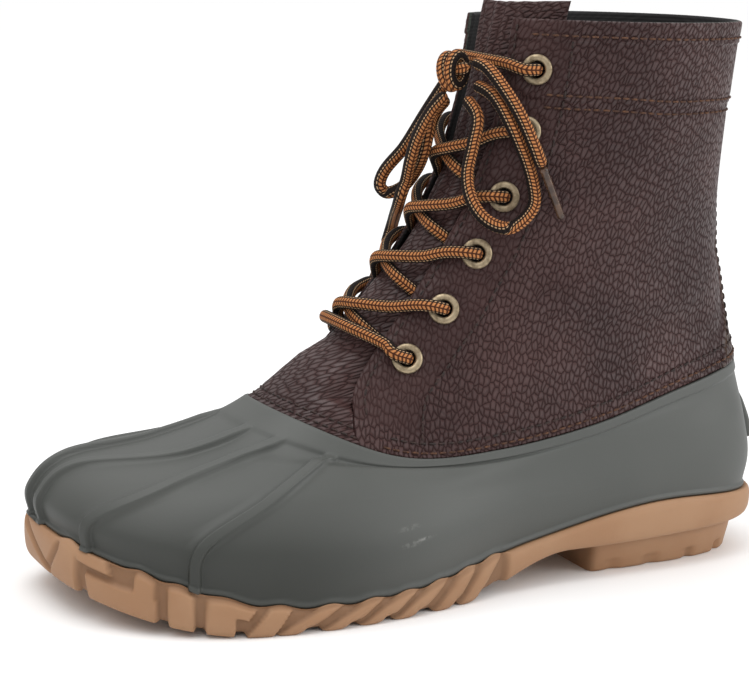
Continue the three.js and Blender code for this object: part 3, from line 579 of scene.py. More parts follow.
class Value:
    """A shader output that Python's operators turn into Math nodes."""

    def __init__(self, sheet: "Sheet", socket: bpy.types.NodeSocket) -> None:
        """Keep the node tree and the output."""
        self.sheet, self.socket = sheet, socket

    def math(self, operation: str, *others: Any) -> "Value":
        """Math node of this value and others."""
        inputs = dict(enumerate((self, *others)))
        return self.sheet.node("ShaderNodeMath", {"operation": operation}, inputs)

    def __add__(self, other: Any) -> "Value":
        """Sum."""
        return self.math("ADD", other)

    def __sub__(self, other: Any) -> "Value":
        """Difference."""
        return self.math("SUBTRACT", other)

    def __mul__(self, other: Any) -> "Value":
        """Product."""
        return self.math("MULTIPLY", other)

    def __rsub__(self, other: float) -> "Value":
        """Number less this value."""
        return self.sheet.node("ShaderNodeMath", {"operation": "SUBTRACT"}, {0: other, 1: self})

    __radd__ = __add__
    __rmul__ = __mul__


class Sheet:
    """Node tree of one material, read in Object coordinates."""

    def __init__(self, name: str) -> None:
        """Start a material with an empty tree.

        Args:
            name: of the material.
        """
        self.material = bpy.data.materials.new(name)
        self.material.use_nodes = True
        self.tree = self.material.node_tree
        self.tree.nodes.clear()
        self.place = self.node("ShaderNodeTexCoord", output="Object")

    def node(self, kind: str, settings: dict[str, Any] | None = None,
             inputs: dict[Any, Any] | None = None, output: Any = 0) -> Value:
        """Any node: its settings first, then the values or links of its sockets.

        Args:
            kind: type of the node.
            settings: its own properties.
            inputs: numbers, colours or values by socket.
            output: the socket wanted.

        Returns:
            That output.
        """
        made = self.tree.nodes.new(kind)
        for name, setting in (settings or {}).items():
            setattr(made, name, setting)
        for key, given in (inputs or {}).items():
            if isinstance(given, Value):
                self.tree.links.new(given.socket, made.inputs[key])
            else:
                made.inputs[key].default_value = given
        return Value(self, made.outputs[output])

    def mask(self, name: str) -> Value:
        """Mask that is stored on the mesh's points."""
        return self.node("ShaderNodeAttribute", {"attribute_name": name}, output="Fac")

    def stretched(self, place: Value, scale: Sequence[float], lean: float = 0.0) -> Value:
        """Coordinates turned about their third axis, then scaled along each axis."""
        turned = self.node("ShaderNodeMapping", None, {"Vector": place, "Rotation": (0.0, 0.0, lean)})
        return self.node("ShaderNodeVectorMath", {"operation": "MULTIPLY"}, {0: turned, 1: tuple(scale)})

    def along(self, direction: Sequence[float]) -> Value:
        """Place along a direction, in the units of one over its length."""
        return self.node("ShaderNodeVectorMath", {"operation": "DOT_PRODUCT"},
                         {0: self.place, 1: tuple(direction)}, "Value")

    def noise(self, size: float, detail: float = 2.0, place: Value | None = None) -> Value:
        """Noise whose lumps have a size in mm."""
        return self.node("ShaderNodeTexNoise", None, {
            "Vector": place or self.place, "Scale": 1000 / size, "Detail": detail})

    def cells(self, size: float, feature: str, place: Value | None = None,
              randomness: float = 1.0) -> Value:
        """Distance in a pattern of cells whose size is in mm."""
        return self.node("ShaderNodeTexVoronoi", {"feature": feature, "voronoi_dimensions": "2D"}, {
            "Vector": place or self.place, "Scale": 1000 / size, "Randomness": randomness},
            "Distance")

    def moved(self, place: Value, amount: float, size: float) -> Value:
        """Coordinates pushed about by noise.

        Args:
            place: the coordinates.
            amount: how far they move at most, in mm.
            size: of the noise's lumps, in mm.

        Returns:
            The new coordinates.
        """
        push = self.node("ShaderNodeTexNoise", None, {"Vector": place, "Scale": 1000 / size}, "Color")
        centred = self.node("ShaderNodeVectorMath", {"operation": "SUBTRACT"}, {0: push, 1: (0.5,) * 3})
        scaled = self.node("ShaderNodeVectorMath", {"operation": "SCALE"},
                           {0: centred, "Scale": amount / 1000})
        return self.node("ShaderNodeVectorMath", {"operation": "ADD"}, {0: place, 1: scaled})

    def band(self, value: Value, low: float, high: float) -> Value:
        """Soft step of a value from 0 at low to 1 at high."""
        return self.node("ShaderNodeMapRange", {"interpolation_type": "SMOOTHSTEP"},
                         {"Value": value, "From Min": low, "From Max": high})

    def mix(self, share: Any, first: Any, second: Any) -> Value:
        """Colour between two colours."""
        return self.node("ShaderNodeMix", {"data_type": "RGBA"}, {0: share, 6: first, 7: second}, 2)

    def bump(self, height: Value, distance: float, strength: float = 1.0,
             normal: Value | None = None) -> Value:
        """Normal of a height.

        Args:
            height: from 0 to 1.
            distance: how far 1 stands out, in mm.
            strength: how much of it is shown.
            normal: of a bump below it.

        Returns:
            The normal.
        """
        inputs = {"Height": height, "Distance": distance / 1000, "Strength": strength}
        if normal is not None:
            inputs["Normal"] = normal
        return self.node("ShaderNodeBump", None, inputs, "Normal")

    def done(self, **inputs: Any) -> bpy.types.Material:
        """Close the tree with a shader.

        Args:
            inputs: its sockets, with underscores for spaces.

        Returns:
            The material.
        """
        named = {name.replace("_", " "): value for name, value in inputs.items()}
        shader = self.node("ShaderNodeBsdfPrincipled", None, named)
        self.node_output(shader)
        return self.material

    def node_output(self, shader: Value) -> None:
        """Link a shader to the material's output."""
        end = self.tree.nodes.new("ShaderNodeOutputMaterial")
        self.tree.links.new(shader.socket, end.inputs["Surface"])


@dataclass(frozen=True)
class Leather:
    """Tumbled oxblood leather with an eyestay that is pressed smoother."""

    name: str = "tumbled_leather"
    dark: tuple = srgb(54, 31, 30)
    light: tuple = srgb(73, 48, 46)
    # painted shade for the crevices between pebbles and for the smooth eyestay
    crevice_shade: tuple = srgb(26, 13, 12)
    stay: tuple = srgb(62, 44, 32)
    pebble: float = 1.6
    slender: float = 0.5
    lean: float = 0.42
    grain: float = 0.62

    def material(self) -> bpy.types.Material:
        """Long pebbles along the mesh's own grain, tone that drifts, and painted shade: darker in the
        crevices between pebbles and evenly darker over the smooth eyestay.

        Returns:
            The material.
        """
        sheet = Sheet(self.name)
        flat, rough = sheet.mask("smooth"), sheet.mask("stay")
        own = sheet.node("ShaderNodeAttribute", {"attribute_name": "grain"}, output="Vector")
        place = sheet.moved(sheet.stretched(own, (1.0, self.slender, 1.0), self.lean), 1.3, 3.0)
        edge = sheet.cells(self.pebble, "DISTANCE_TO_EDGE", place, 0.85)
        rows = sheet.cells(self.pebble * 3.2, "DISTANCE_TO_EDGE",
                           sheet.stretched(own, (1.0, self.slender * 0.8, 1.0), self.lean))
        pillow = sheet.band(edge, 0.0, 0.36)
        fold = sheet.band(rows, 0.0, 0.06)
        wrinkle = sheet.noise(1.3, 4, sheet.stretched(own, (1.0, 0.16, 1.0), self.lean * 0.3))
        skin = sheet.noise(0.6, 3)
        height = (pillow * (1 - flat * 0.7) * (0.7 + fold * 0.3) + skin * 0.16
                  + wrinkle * (0.25 + flat * 0.75))
        tone = sheet.mix(sheet.band(sheet.noise(38, 4), 0.3, 0.7), self.dark, self.light)
        # painted shade: crevices between pebbles, and the smooth eyestay as a whole, are mixed towards a
        # dark colour
        crevice_shading = 1 - sheet.band(edge, 0.0, 0.12) * (0.7 + fold * 0.3)
        tone = sheet.mix(crevice_shading * (0.85 - flat * 0.55) + flat * 0.3, tone, self.crevice_shade)
        tone = sheet.mix(rough * sheet.band(sheet.noise(2.4, 5), 0.35, 0.6), tone, self.stay)
        gloss = 0.6 - pillow * 0.1 + skin * 0.12
        sheen = pillow * (0.45 + skin * 0.35) * (1 - flat * 0.5)
        return sheet.done(Base_Color=tone, Roughness=gloss, Specular_IOR_Level=0.16,
                          Coat_Weight=sheen, Coat_Roughness=0.38,
                          Normal=sheet.bump(height, self.grain, 0.95))


@dataclass(frozen=True)
class RawEdge:
    """Cut edge of the leather, olive and fibrous."""

    name: str = "cut_edge"
    fibre: tuple = srgb(58, 64, 58)
    core: tuple = srgb(30, 32, 28)

    def material(self) -> bpy.types.Material:
        """Fibres of fine noise between two tones.

        Returns:
            The material.
        """
        sheet = Sheet(self.name)
        grain = sheet.noise(0.7, 4)
        return sheet.done(Base_Color=sheet.mix(sheet.band(grain, 0.35, 0.65), self.core, self.fibre),
                          Roughness=0.85, Normal=sheet.bump(grain, 0.25, 0.7))


@dataclass(frozen=True)
class Rubber:
    """Matte moulded rubber of a warm grey, slightly dusty, with a few light scuffs."""

    name: str = "shell_rubber"
    body: tuple = srgb(73, 75, 72)
    pale: tuple = srgb(88, 89, 86)
    scuff: tuple = srgb(140, 140, 136)
    # painted shade for the lower wall of the toe
    shade: tuple = srgb(44, 46, 42)

    def material(self) -> bpy.types.Material:
        """Tone that drifts, a faint moulded grain, scuffs where the mesh says, painted shade low on the toe
        and a painted highlight along the lip.

        Returns:
            The material.
        """
        sheet = Sheet(self.name)
        drift = sheet.band(sheet.noise(60, 3), 0.3, 0.7)
        speck = sheet.band(sheet.noise(0.9, 4), 0.6, 0.78)
        streak = sheet.band(sheet.noise(6, 5, sheet.stretched(sheet.place, (0.25, 0.25, 3.0))), 0.62, 0.75)
        scuffed = sheet.mask("scuff") * sheet.band(sheet.noise(1.6, 3), 0.42, 0.6)
        tone = sheet.mix(drift * 0.35 + speck * 0.08 + streak * 0.1, self.body, self.pale)
        # painted shade: darker low on the toe's wall, towards the front
        low = 1 - sheet.band(sheet.along((0, 0, 1000)), 16, 56)
        toe = sheet.band(sheet.along((1000, 300, 0)), 20, 90)
        tone = sheet.mix(low * toe, tone, self.shade)
        tone = sheet.mix(scuffed, tone, self.scuff)
        # painted highlight: paler along the rounded lip above the sole
        tone = sheet.mix(sheet.mask("lip") * 0.25, tone, self.pale)
        grain = sheet.noise(0.45, 3) + sheet.noise(3.0, 2) * 0.5
        return sheet.done(Base_Color=tone, Roughness=0.47 + drift * 0.07 + scuffed * 0.2,
                          Specular_IOR_Level=0.4, Normal=sheet.bump(grain, 0.05, 0.5))


@dataclass(frozen=True)
class Gum:
    """Tan gum rubber with painted shade in the recesses."""

    name: str = "gum_rubber"
    body: tuple = srgb(152, 114, 83)
    pale: tuple = srgb(166, 131, 101)
    # painted shade for the recesses
    deep: tuple = srgb(98, 69, 47)

    def material(self) -> bpy.types.Material:
        """Two tones that drift, and painted shade where the mesh is recessed.

        Returns:
            The material.
        """
        sheet = Sheet(self.name)
        drift = sheet.band(sheet.noise(25, 4), 0.3, 0.7)
        tone = sheet.mix(drift * 0.6, self.body, self.pale)
        # painted shade: darker in the recesses between lugs, in the tread grooves and in the heel notches
        tone = sheet.mix(sheet.mask("recess") * 0.55, tone, self.deep)
        grain = sheet.noise(0.6, 4) + sheet.noise(4, 2) * 0.5
        return sheet.done(Base_Color=tone, Roughness=0.56 + drift * 0.1, Specular_IOR_Level=0.35,
                          Subsurface_Weight=0.05, Subsurface_Radius=(0.002, 0.001, 0.0006),
                          Normal=sheet.bump(grain, 0.07, 0.5))


@dataclass(frozen=True)
class Lining:
    """Black woven lining."""

    name: str = "woven_lining"
    dark: tuple = srgb(20, 19, 20)
    light: tuple = srgb(44, 42, 42)

    def material(self) -> bpy.types.Material:
        """Crossed waves of a fine weave.

        Returns:
            The material.
        """
        sheet = Sheet(self.name)
        waves = [sheet.node("ShaderNodeTexWave", {"bands_direction": axis}, {
            "Vector": sheet.place, "Scale": 250.0, "Distortion": 0.6}, "Fac") for axis in ("Z", "DIAGONAL")]
        weave = waves[0] * 0.5 + waves[1] * 0.5
        tone = sheet.mix(weave * sheet.noise(8, 3), self.dark, self.light)
        return sheet.done(Base_Color=tone, Roughness=0.92, Normal=sheet.bump(weave, 0.2, 0.6))


@dataclass(frozen=True)
class Brass:
    """Antique brass, dark where it has tarnished."""

    name: str = "antique_brass"
    bright: tuple = srgb(166, 150, 124)
    tarnish: tuple = srgb(84, 68, 50)

    def material(self) -> bpy.types.Material:
        """Tarnish in patches over brushed metal.

        Returns:
            The material.
        """
        sheet = Sheet(self.name)
        patch = sheet.band(sheet.noise(2.2, 5), 0.38, 0.66)
        tone = sheet.mix(patch * 0.55, self.bright, self.tarnish)
        tone = sheet.mix(sheet.mask("recess"), tone, self.tarnish)
        return sheet.done(Base_Color=tone, Metallic=0.9, Roughness=0.4 + patch * 0.16,
                          Normal=sheet.bump(sheet.noise(0.5, 3), 0.03, 0.6))


@dataclass(frozen=True)
class Braid:
    """Round braided lace: two copper stripes of slanting stitches on black."""

    name: str = "braided_lace"
    black: tuple = srgb(22, 13, 10)
    copper: tuple = srgb(184, 122, 74)
    # painted shade between the copper stitches
    shade: tuple = srgb(66, 33, 16)
    fleck: tuple = srgb(204, 166, 126)
    stripes: int = 2
    pitch: float = 1.25

    def material(self) -> bpy.types.Material:
        """Stripes from the turn around the lace, slanting stitches from the run along it, and painted shade
        in the gaps between the stitches.

        Returns:
            The material.
        """
        sheet = Sheet(self.name)
        run = sheet.node("ShaderNodeUVMap", {"uv_map": "run"})
        around, along = (sheet.node("ShaderNodeSeparateXYZ", None, {0: run}, axis) for axis in "XY")
        lane = (around * self.stripes + 0.5).math("FRACT")
        off = (lane - 0.5).math("ABSOLUTE")
        stripe = 1 - sheet.band(off, 0.2, 0.23)
        border = sheet.band(off, 0.27, 0.29) * (1 - sheet.band(off, 0.33, 0.35))
        slant = (along * (1 / self.pitch) + off * 2.2).math("FRACT")
        ridge = 1 - sheet.band((slant - 0.5).math("ABSOLUTE"), 0.16, 0.42)
        spine = sheet.band(off, 0.02, 0.06)
        # painted shade: dark brown in the gaps between stitches and along each stripe's middle, copper on
        # the stitch ridges
        yarn_with_painted_shade = sheet.mix(ridge * spine, self.shade, self.copper)
        tone = sheet.mix(stripe, self.black, yarn_with_painted_shade)
        tone = sheet.mix(border * ridge * 0.8, tone, self.fleck)
        round_yarn = ridge * (0.6 + spine * 0.4)
        return sheet.done(Base_Color=tone, Roughness=0.8, Specular_IOR_Level=0.2,
                          Normal=sheet.bump(round_yarn, 0.3, 0.85))


@dataclass(frozen=True)
class Plain:
    """One tone with a fine mottle, for thread and lace tips."""

    name: str
    body: tuple
    light: tuple
    roughness: float = 0.7
    mottle: float = 1.2

    def material(self) -> bpy.types.Material:
        """Mottle between two tones with a fine bump.

        Returns:
            The material.
        """
        sheet = Sheet(self.name)
        spots = sheet.noise(self.mottle, 3)
        return sheet.done(Base_Color=sheet.mix(sheet.band(spots, 0.35, 0.65), self.body, self.light),
                          Roughness=self.roughness, Normal=sheet.bump(spots, 0.08, 0.5))


class Wardrobe:
    """Every finish of the boot, made once."""

    def __init__(self) -> None:
        """Make the materials."""
        self.leather = Leather().material()
        self.edge = RawEdge().material()
        self.rubber = Rubber().material()
        self.gum = Gum().material()
        self.lining = Lining().material()
        self.brass = Brass().material()
        self.braid = Braid().material()
        self.thread = Plain("dark_thread", srgb(30, 18, 15), srgb(50, 30, 24), 0.75).material()
        self.tan_thread = Plain("tan_thread", srgb(58, 34, 23), srgb(92, 60, 40), 0.85).material()
        self.tip = Plain("lace_tip", srgb(52, 36, 27), srgb(86, 62, 46), 0.22, 3.0).material()


@dataclass
class Studio:
    """Camera at the photograph's view, a pale floor and soft lights."""

    target: tuple[float, float, float] = (11.35866, 0.0, 83.77104)
    distance: float = 740.0
    azimuth: float = 0.4479629
    elevation: float = 0.19484121
    roll: float = 0.0347431
    focal_pixels: float = 2135.2178
    horizon: float = 0.42
    zenith: float = 1.42

    def camera(self) -> None:
        """Camera looking at the boot from its outer front side, slightly rolled."""
        back = np.array([math.sin(self.azimuth) * math.cos(self.elevation),
                         math.cos(self.azimuth) * math.cos(self.elevation), math.sin(self.elevation)])
        right = np.array([-math.cos(self.azimuth), math.sin(self.azimuth), 0.0])
        over = np.cross(right, -back)
        turn = (math.cos(self.roll), math.sin(self.roll))
        axes = np.stack([turn[0] * right + turn[1] * over, -turn[1] * right + turn[0] * over, back], 1)
        data = bpy.data.cameras.new("view")
        data.lens = self.focal_pixels * data.sensor_width / IMAGE_WIDTH
        data.clip_start, data.clip_end = 0.05, 50
        camera = bpy.data.objects.new("view", data)
        place = np.eye(4)
        place[:3, :3] = axes
        place[:3, 3] = metres(np.array(self.target) + self.distance * back)
        camera.matrix_world = Matrix(place.tolist())
        bpy.context.scene.collection.objects.link(camera)
        bpy.context.scene.camera = camera

    def floor(self) -> None:
        """Wide pale floor under the sole."""
        mesh = bpy.data.meshes.new("floor")
        mesh.from_pydata([(-8, -8, 0), (8, -8, 0), (8, 8, 0), (-8, 8, 0)], [], [(0, 1, 2, 3)])
        floor = bpy.data.objects.new("floor", mesh)
        bpy.context.scene.collection.objects.link(floor)
        sheet = Sheet("floor_paper")
        mesh.materials.append(sheet.done(Base_Color=(0.93, 0.93, 0.93, 1), Roughness=0.9,
                                         Specular_IOR_Level=0.1))

    def light(self, name: str, place: Sequence[float], size: float, power: float,
              aim: Sequence[float] = (0.0, 0.0, 0.09)) -> None:
        """Square soft box.

        Args:
            name: of the lamp.
            place: where it hangs, in metres.
            size: of its side, in metres.
            power: in watts.
            aim: what it looks at.
        """
        data = bpy.data.lights.new(name, "AREA")
        data.size, data.energy = size, power
        lamp = bpy.data.objects.new(name, data)
        lamp.location = place
        lamp.rotation_euler = (Vector(aim) - Vector(place)).to_track_quat("-Z", "Y").to_euler()
        bpy.context.scene.collection.objects.link(lamp)

    def build(self) -> None:
        """Floor, lamps and the room's even light."""
        self.floor()
        self.light("top_box", (0.35, 0.0, 1.3), 0.9, 5)
        self.light("back_box", (-1.1, 0.75, 0.55), 0.7, 6)
        self.light("front_box", (0.9, 0.5, 1.1), 0.6, 1.5)
        bpy.context.scene.view_settings.view_transform = "Standard"
        world = bpy.data.worlds.new("room")
        bpy.context.scene.world = world
        world.use_nodes = True
        tree = world.node_tree
        shade = tree.nodes["Background"]
        sky = tree.nodes.new("ShaderNodeTexCoord")
        height = tree.nodes.new("ShaderNodeSeparateXYZ")
        glow = tree.nodes.new("ShaderNodeMapRange")
        shade.inputs["Color"].default_value = (1.0, 1.0, 1.0, 1.0)
        glow.inputs["To Min"].default_value = self.horizon
        glow.inputs["To Max"].default_value = self.zenith
        tree.links.new(sky.outputs["Generated"], height.inputs[0])
        tree.links.new(height.outputs["Z"], glow.inputs["Value"])
        tree.links.new(glow.outputs["Result"], shade.inputs["Strength"])
        log.info("studio: floor, 3 soft boxes")


class FarEnd(Enum):
    """What a free stretch of lace ends in."""

    KNOT = "object"
    TIP = "fitting"


@dataclass
class Bow:
    """Knot, two loops and two ends of the lace, with their tips."""

    finishes: Wardrobe
    reference: tuple[float, float, float] = (1.0, 0.0, 0.0)
    routes: dict[str, list[list[float]]] = field(default_factory=lambda: {
        "lace_loop_right": [
            [-16, 14.6, 172.4], [-19.1, 22.9, 168.9], [-22, 30.4, 159.9], [-26.8, 32.2, 149.7],
            [-29.9, 32.8, 140.9], [-30.6, 33.1, 133.6], [-26.5, 33.1, 128.2], [-20.8, 32.4, 125.7],
            [-13.6, 29.8, 128.8], [-10.2, 26.1, 135.2], [-10.1, 22.9, 143.1], [-12.2, 22.4, 153.5],
            [-14, 21.1, 161.9], [-13.2, 13.8, 167.6]],
        "lace_loop_left": [
            [-14.4, -0.4, 173.6], [-15.2, -5, 171.9], [-10.8, -11, 160.6], [-4.7, -15, 147.9],
            [1.4, -17, 139.8], [3.2, -17, 134.6], [0.8, -16, 132], [-3.4, -12.2, 134.5],
            [-5.3, -6, 141.1], [-5.6, -1, 148.2], [-7, -1, 154.6], [-11.2, -4.6, 161],
            [-13.2, 0, 166.6]],
        "lace_end_right": [
            [-15.2, 15, 180], [-17.1, 21.2, 178.2], [-20.6, 28.2, 171], [-24.2, 33, 163],
            [-28.2, 36, 153.2], [-31.4, 36.2, 146.6]],
        "lace_end_left": [
            [-8.6, 8, 168.8], [-5, 5, 163], [-1.6, 2, 154.1], [-0.1, 0, 145.8], [-0.6, -4, 137.8],
            [0.8, -4.8, 132.8], [-1, -10.6, 128], [-6, -22.6, 123.4], [-9.4, -32.2, 117.4],
            [-7.8, -33.4, 110]]})
    tips: dict[str, list[list[float]]] = field(default_factory=lambda: {
        "right": [[-31.4, 36.2, 146.6], [-39.9, 36.2, 128.7]],
        "left": [[-7.8, -33.4, 110], [-1.6, -35, 93.2]]})
    turns: tuple[tuple[float, ...], ...] = ((0.35, -1.9, 5.2, 3.4), (0.1, 1.9, 5.0, 3.2))
    core: tuple[tuple[float, ...], ...] = (
        (-6.6, 1.6, -1.5), (-3, 0.2, 0), (0, 0, 0.4), (3, 0.2, 0.6), (6.8, 1.4, 1.8))
    snug: float = 0.95
    sides: int = 18

    def tip(self, side: str) -> bpy.types.Object:
        """Lace tip: a thin sleeve that tapers to its end.

        Args:
            side: which end of the lace.

        Returns:
            The object.
        """
        path = line_of(self.tips[side], 0.6)
        share = np.linspace(0, 1, len(path))
        radius = AGLET / 2 * (1.0 - 0.3 * smooth(share / 0.12) - 0.06 * share)
        return piece_of(f"aglet_{side}_tip", tube_of(path, radius, self.reference, 16),
                        [self.finishes.tip], [f"aglet_{side}"])

    def cord(self, name: str) -> None:
        """One free stretch of lace.

        Args:
            name: of the CAD node and its route.
        """
        path = line_of(self.routes[name], 0.6)
        piece = piece_of(f"{name}_braid", tube_of(path, LACE / 2, self.reference, 20),
                         [self.finishes.braid], [name])
        followed = metres(path[::3] if len(path) % 3 == 1 else np.append(path[::3], path[-1:], 0))

    def knot(self) -> bpy.types.Object:
        """Knot: two turns of lace around a short core, each an ellipse carried round.

        A turn has its lean, its place along the core and its two half widths. The core's
        points are given along it, into the boot and up.

        Returns:
            The object.
        """
        centre = FORM.skin(*KNOT)
        out = FORM.outward(*KNOT[:2])
        along = unit(np.cross([0, 0, 1], out))
        over = np.cross(out, along)
        turn = np.linspace(0, 2 * np.pi, 60, endpoint=False)[:, None]
        rings = []
        for lean, offset, wide, deep in self.turns:
            axis = unit(along + lean * over)
            rise = np.cross(out, axis)
            path = centre + offset * axis + np.cos(turn) * wide * rise + np.sin(turn) * deep * out
            rings.append(tube_of(path, LACE / 2 * self.snug, axis, self.sides, close=True))
        core = np.stack([centre + along * reach - out * dip + over * rise
                         for reach, dip, rise in self.core])
        rings.append(tube_of(line_of(core), LACE / 2, (0, 0, 1), self.sides))
        return piece_of("lace_knot_turns", joined(rings), [self.finishes.braid], ["lace_knot"])

    def build(self) -> None:
        """Tips and knot, then the four free stretches."""
        tips = {side: self.tip(side) for side in self.tips}
        self.knot()
        self.cord("lace_loop_right")
        self.cord("lace_loop_left")
        self.cord("lace_end_right")
        self.cord("lace_end_left")


@dataclass
class Shell:
    """Rubber shell: ribs over the toe, raised band at the top, scalloped lip at the sole."""

    finishes: Wardrobe
    rib_raise: float = 2.0
    rib_half: float = 2.4
    band_raise: float = 0.7
    lip_raise: float = 0.75
    flange_inset: float = 2.4
    tab_width: float = 26.0
    tab_depth: float = 3.6
    columns: tuple[int, ...] = (7, 14, 7, 14, 11, 14, 10, 125)
    rib_slope: float = 1.05
    rib_end: float = 3.45
    band_level: float = 3.66
    front: tuple[float, ...] = (51, 52, 61, 58, 44)
    tab_levels: tuple[float, ...] = (1.3, 1.36, 1.9, 2.4, 2.78)
    tab_reach: tuple[float, ...] = (0.8, 1, 0.72, 0.36, 0)
    tab_share: tuple[float, ...] = (0.93, 1, 1, 0.92, 0.72)
    scuffs: tuple[tuple[float, float], ...] = ((77.5, 1.32), (78, 0.98), (80, 1.04))

    def knots(self, level: Array, side: int) -> Array:
        """Angles that the columns keep to at each level: both feet of each rib and the heel.

        Args:
            level: one a row.
            side: 1 outer, -1 inner.

        Returns:
            One row of angles a level.
        """
        held = np.clip(level, 0, TOPLINE)
        angles = [np.zeros_like(held)]
        for track in RIB_TRACKS[side]:
            middle = through(range(5), track, held)
            spread = (self.rib_half + 0.4) / np.linalg.norm(FORM.around(side * middle, held), axis=-1)
            angles += [middle - np.minimum(spread, 0.45 * middle), middle + spread]
        front = through(range(5), self.front, held) + 3
        return np.stack([*angles, front, np.full_like(held, 180.0)], 1)

    def angles(self, level: Array) -> Array:
        """Angle of every column, all the way round from the toe.

        Args:
            level: one a row.

        Returns:
            One row of angles a level.
        """
        halves = []
        for side in (1, -1):
            knots = self.knots(level, side)
            parts = []
            for k, count in enumerate(self.columns):
                share = np.arange(count) / count
                share = share ** 1.4 if k == 0 else share
                share = 1 - (1 - share) ** 1.35 if k == len(self.columns) - 1 else share
                parts.append(knots[:, k:k + 1] + (knots[:, k + 1:k + 2] - knots[:, k:k + 1]) * share)
            halves.append(np.concatenate(parts, 1))
        outer = np.concatenate([halves[0], np.full((len(level), 1), 180.0)], 1)
        return np.concatenate([outer, 360 - halves[1][:, :0:-1]], 1)

    def ribs(self, angle: Array, level: Array) -> Array:
        """Height of the ribs: a soft flat-topped ridge over the distance square to each track.

        Args:
            angle: one a point.
            level: one a point.

        Returns:
            Heights in mm.
        """
        held = np.clip(level, 0, TOPLINE)
        here = FORM.point(angle, held)
        along_row = unit(FORM.around(angle, held))
        height = np.zeros_like(angle)
        for side, tracks in RIB_TRACKS.items():
            for track in tracks:
                middle = side * through(range(5), track, held[:, :1])
                ahead = side * through(range(5), track, held[:, :1] + 0.05)
                foot = FORM.point(middle, held[:, :1])
                course = unit(FORM.point(ahead, held[:, :1] + 0.05) - foot)
                square = np.linalg.norm(np.cross(along_row, np.broadcast_to(course, here.shape)), axis=-1)
                away = np.linalg.norm(here - foot, axis=-1) * np.clip(square, 0.35, 1)
                height = np.maximum(height, smooth((self.rib_half - away) / self.rib_slope))
        fade = 1 - 0.5 * smooth((level - self.rib_end) / 0.3)
        return self.rib_raise * height * fade

    def lip(self, angle: Array, level: Array) -> tuple[Array, Array]:
        """Rounded lip that follows the sole's scallops.

        Args:
            angle: one a point.
            level: one a point.

        Returns:
            Its height, and a mask of where it is.
        """
        above = (level * np.linalg.norm(FORM.up(angle, 0.1), axis=-1)
                 - SOLE_EDGE.scallop(angle))
        mask = smooth((above + 0.9) / 0.7) * (1 - smooth((above - 1.0) / 0.8))
        return self.lip_raise * mask, mask

    def tab(self) -> Surface:
        """Heel tab: a wedge, flush at its top and proud at its lower edge.

        Returns:
            Its closed wall.
        """
        level = np.concatenate([[1.3, 1.33], np.linspace(1.36, 2.78, 26)])
        reach = np.interp(level, self.tab_levels, self.tab_reach)
        wide = np.interp(level, self.tab_levels, self.tab_share) * self.tab_width / 2
        probe = np.concatenate([[0], np.geomspace(0.02, 60, 80)])
        share = np.linspace(-1, 1, 41)
        half = FORM.point(180 - probe[None], level[:, None])[..., 1]
        angle = np.stack([180 + np.sign(share) * np.interp(np.abs(share) * w, row, probe)
                          for row, w in zip(half, wide)])
        rounding = np.sqrt(np.maximum(0, 1 - np.abs(share) ** 8))
        groove = 0.5 * np.exp(-((np.abs(share) - 0.82) / 0.05) ** 2)
        lift = self.tab_depth * reach[:, None] * (0.45 + 0.55 * rounding) - groove * reach[:, None]
        rows = np.broadcast_to(level[:, None], angle.shape)
        return wall_of(FORM.skin(angle, rows, lift), FORM.skin(angle, rows, -RUBBER_WALL / 2 + 0 * lift))

    def build(self) -> None:
        """Outer face, top edge, flange behind the leather, inner face and floor as one skin."""
        outer_level = np.concatenate([np.linspace(0, 0.42, 16), np.linspace(0.47, 3.62, 66),
                                      [3.66, 3.69, 3.72, 3.75, 3.8, 3.86, 3.92, 3.97]])
        angle = self.angles(outer_level)
        level = np.broadcast_to(outer_level[:, None], angle.shape)
        lip, lip_mask = self.lip(angle, level)
        band = smooth((level - self.band_level) / 0.09)
        lift = self.ribs(angle, level) * (1 - band) + self.band_raise * band + lip
        rows = [FORM.skin(angle, level, lift)]
        top = ((4, 0.7), (4.02, 0.5), (4.025, 0.1), (4.02, -0.6), (4, -self.flange_inset),
               (4.14, -self.flange_inset), (4.27, -self.flange_inset - 0.1), (4.28, -2.9),
               (4.27, -RUBBER_WALL), (4, -RUBBER_WALL))
        inner = [(row, -RUBBER_WALL) for row in np.linspace(3.8, 0.9, 16)]
        for row, height in (*top, *inner):
            around = self.angles(np.array([row]))[0]
            rows.append(FORM.skin(around, row, height)[None])
        around = self.angles(np.array([0.0]))[0]
        for inset, rise in ((RUBBER_WALL, 5.0), (RUBBER_WALL + 1.5, 3.2), (RUBBER_WALL + 5, 3.0)):
            floor = FORM.skin(around, FLOOR_LEVEL, -inset)
            floor[:, 2] = FORM.point(around, 0)[:, 2] + rise
            rows.append(floor[None])
        points = np.concatenate(rows)
        scuff = sum(np.exp(-(((angle - a) / 1.0) ** 2 + ((level - l) / 0.022) ** 2))
                    for a, l in self.scuffs)
        masks = {"lip": np.zeros(points.shape[:2]), "scuff": np.zeros(points.shape[:2])}
        masks["lip"][:len(outer_level)] = lip_mask
        masks["scuff"][:len(outer_level)] = np.minimum(scuff, 1)
        skin = capped(points, masks)
        piece_of("shell_rubber_skin", joined([skin, self.tab()]), [self.finishes.rubber] * 3,
                 ["shell"])


@dataclass(frozen=True)
class Lug:
    """One lug of the sole's wall: its ends at the bottom and the top, in mm from the toe."""

    low: tuple[float, float]
    high: tuple[float, float]
    span: tuple[float, float] = (-0.2, 0.9)


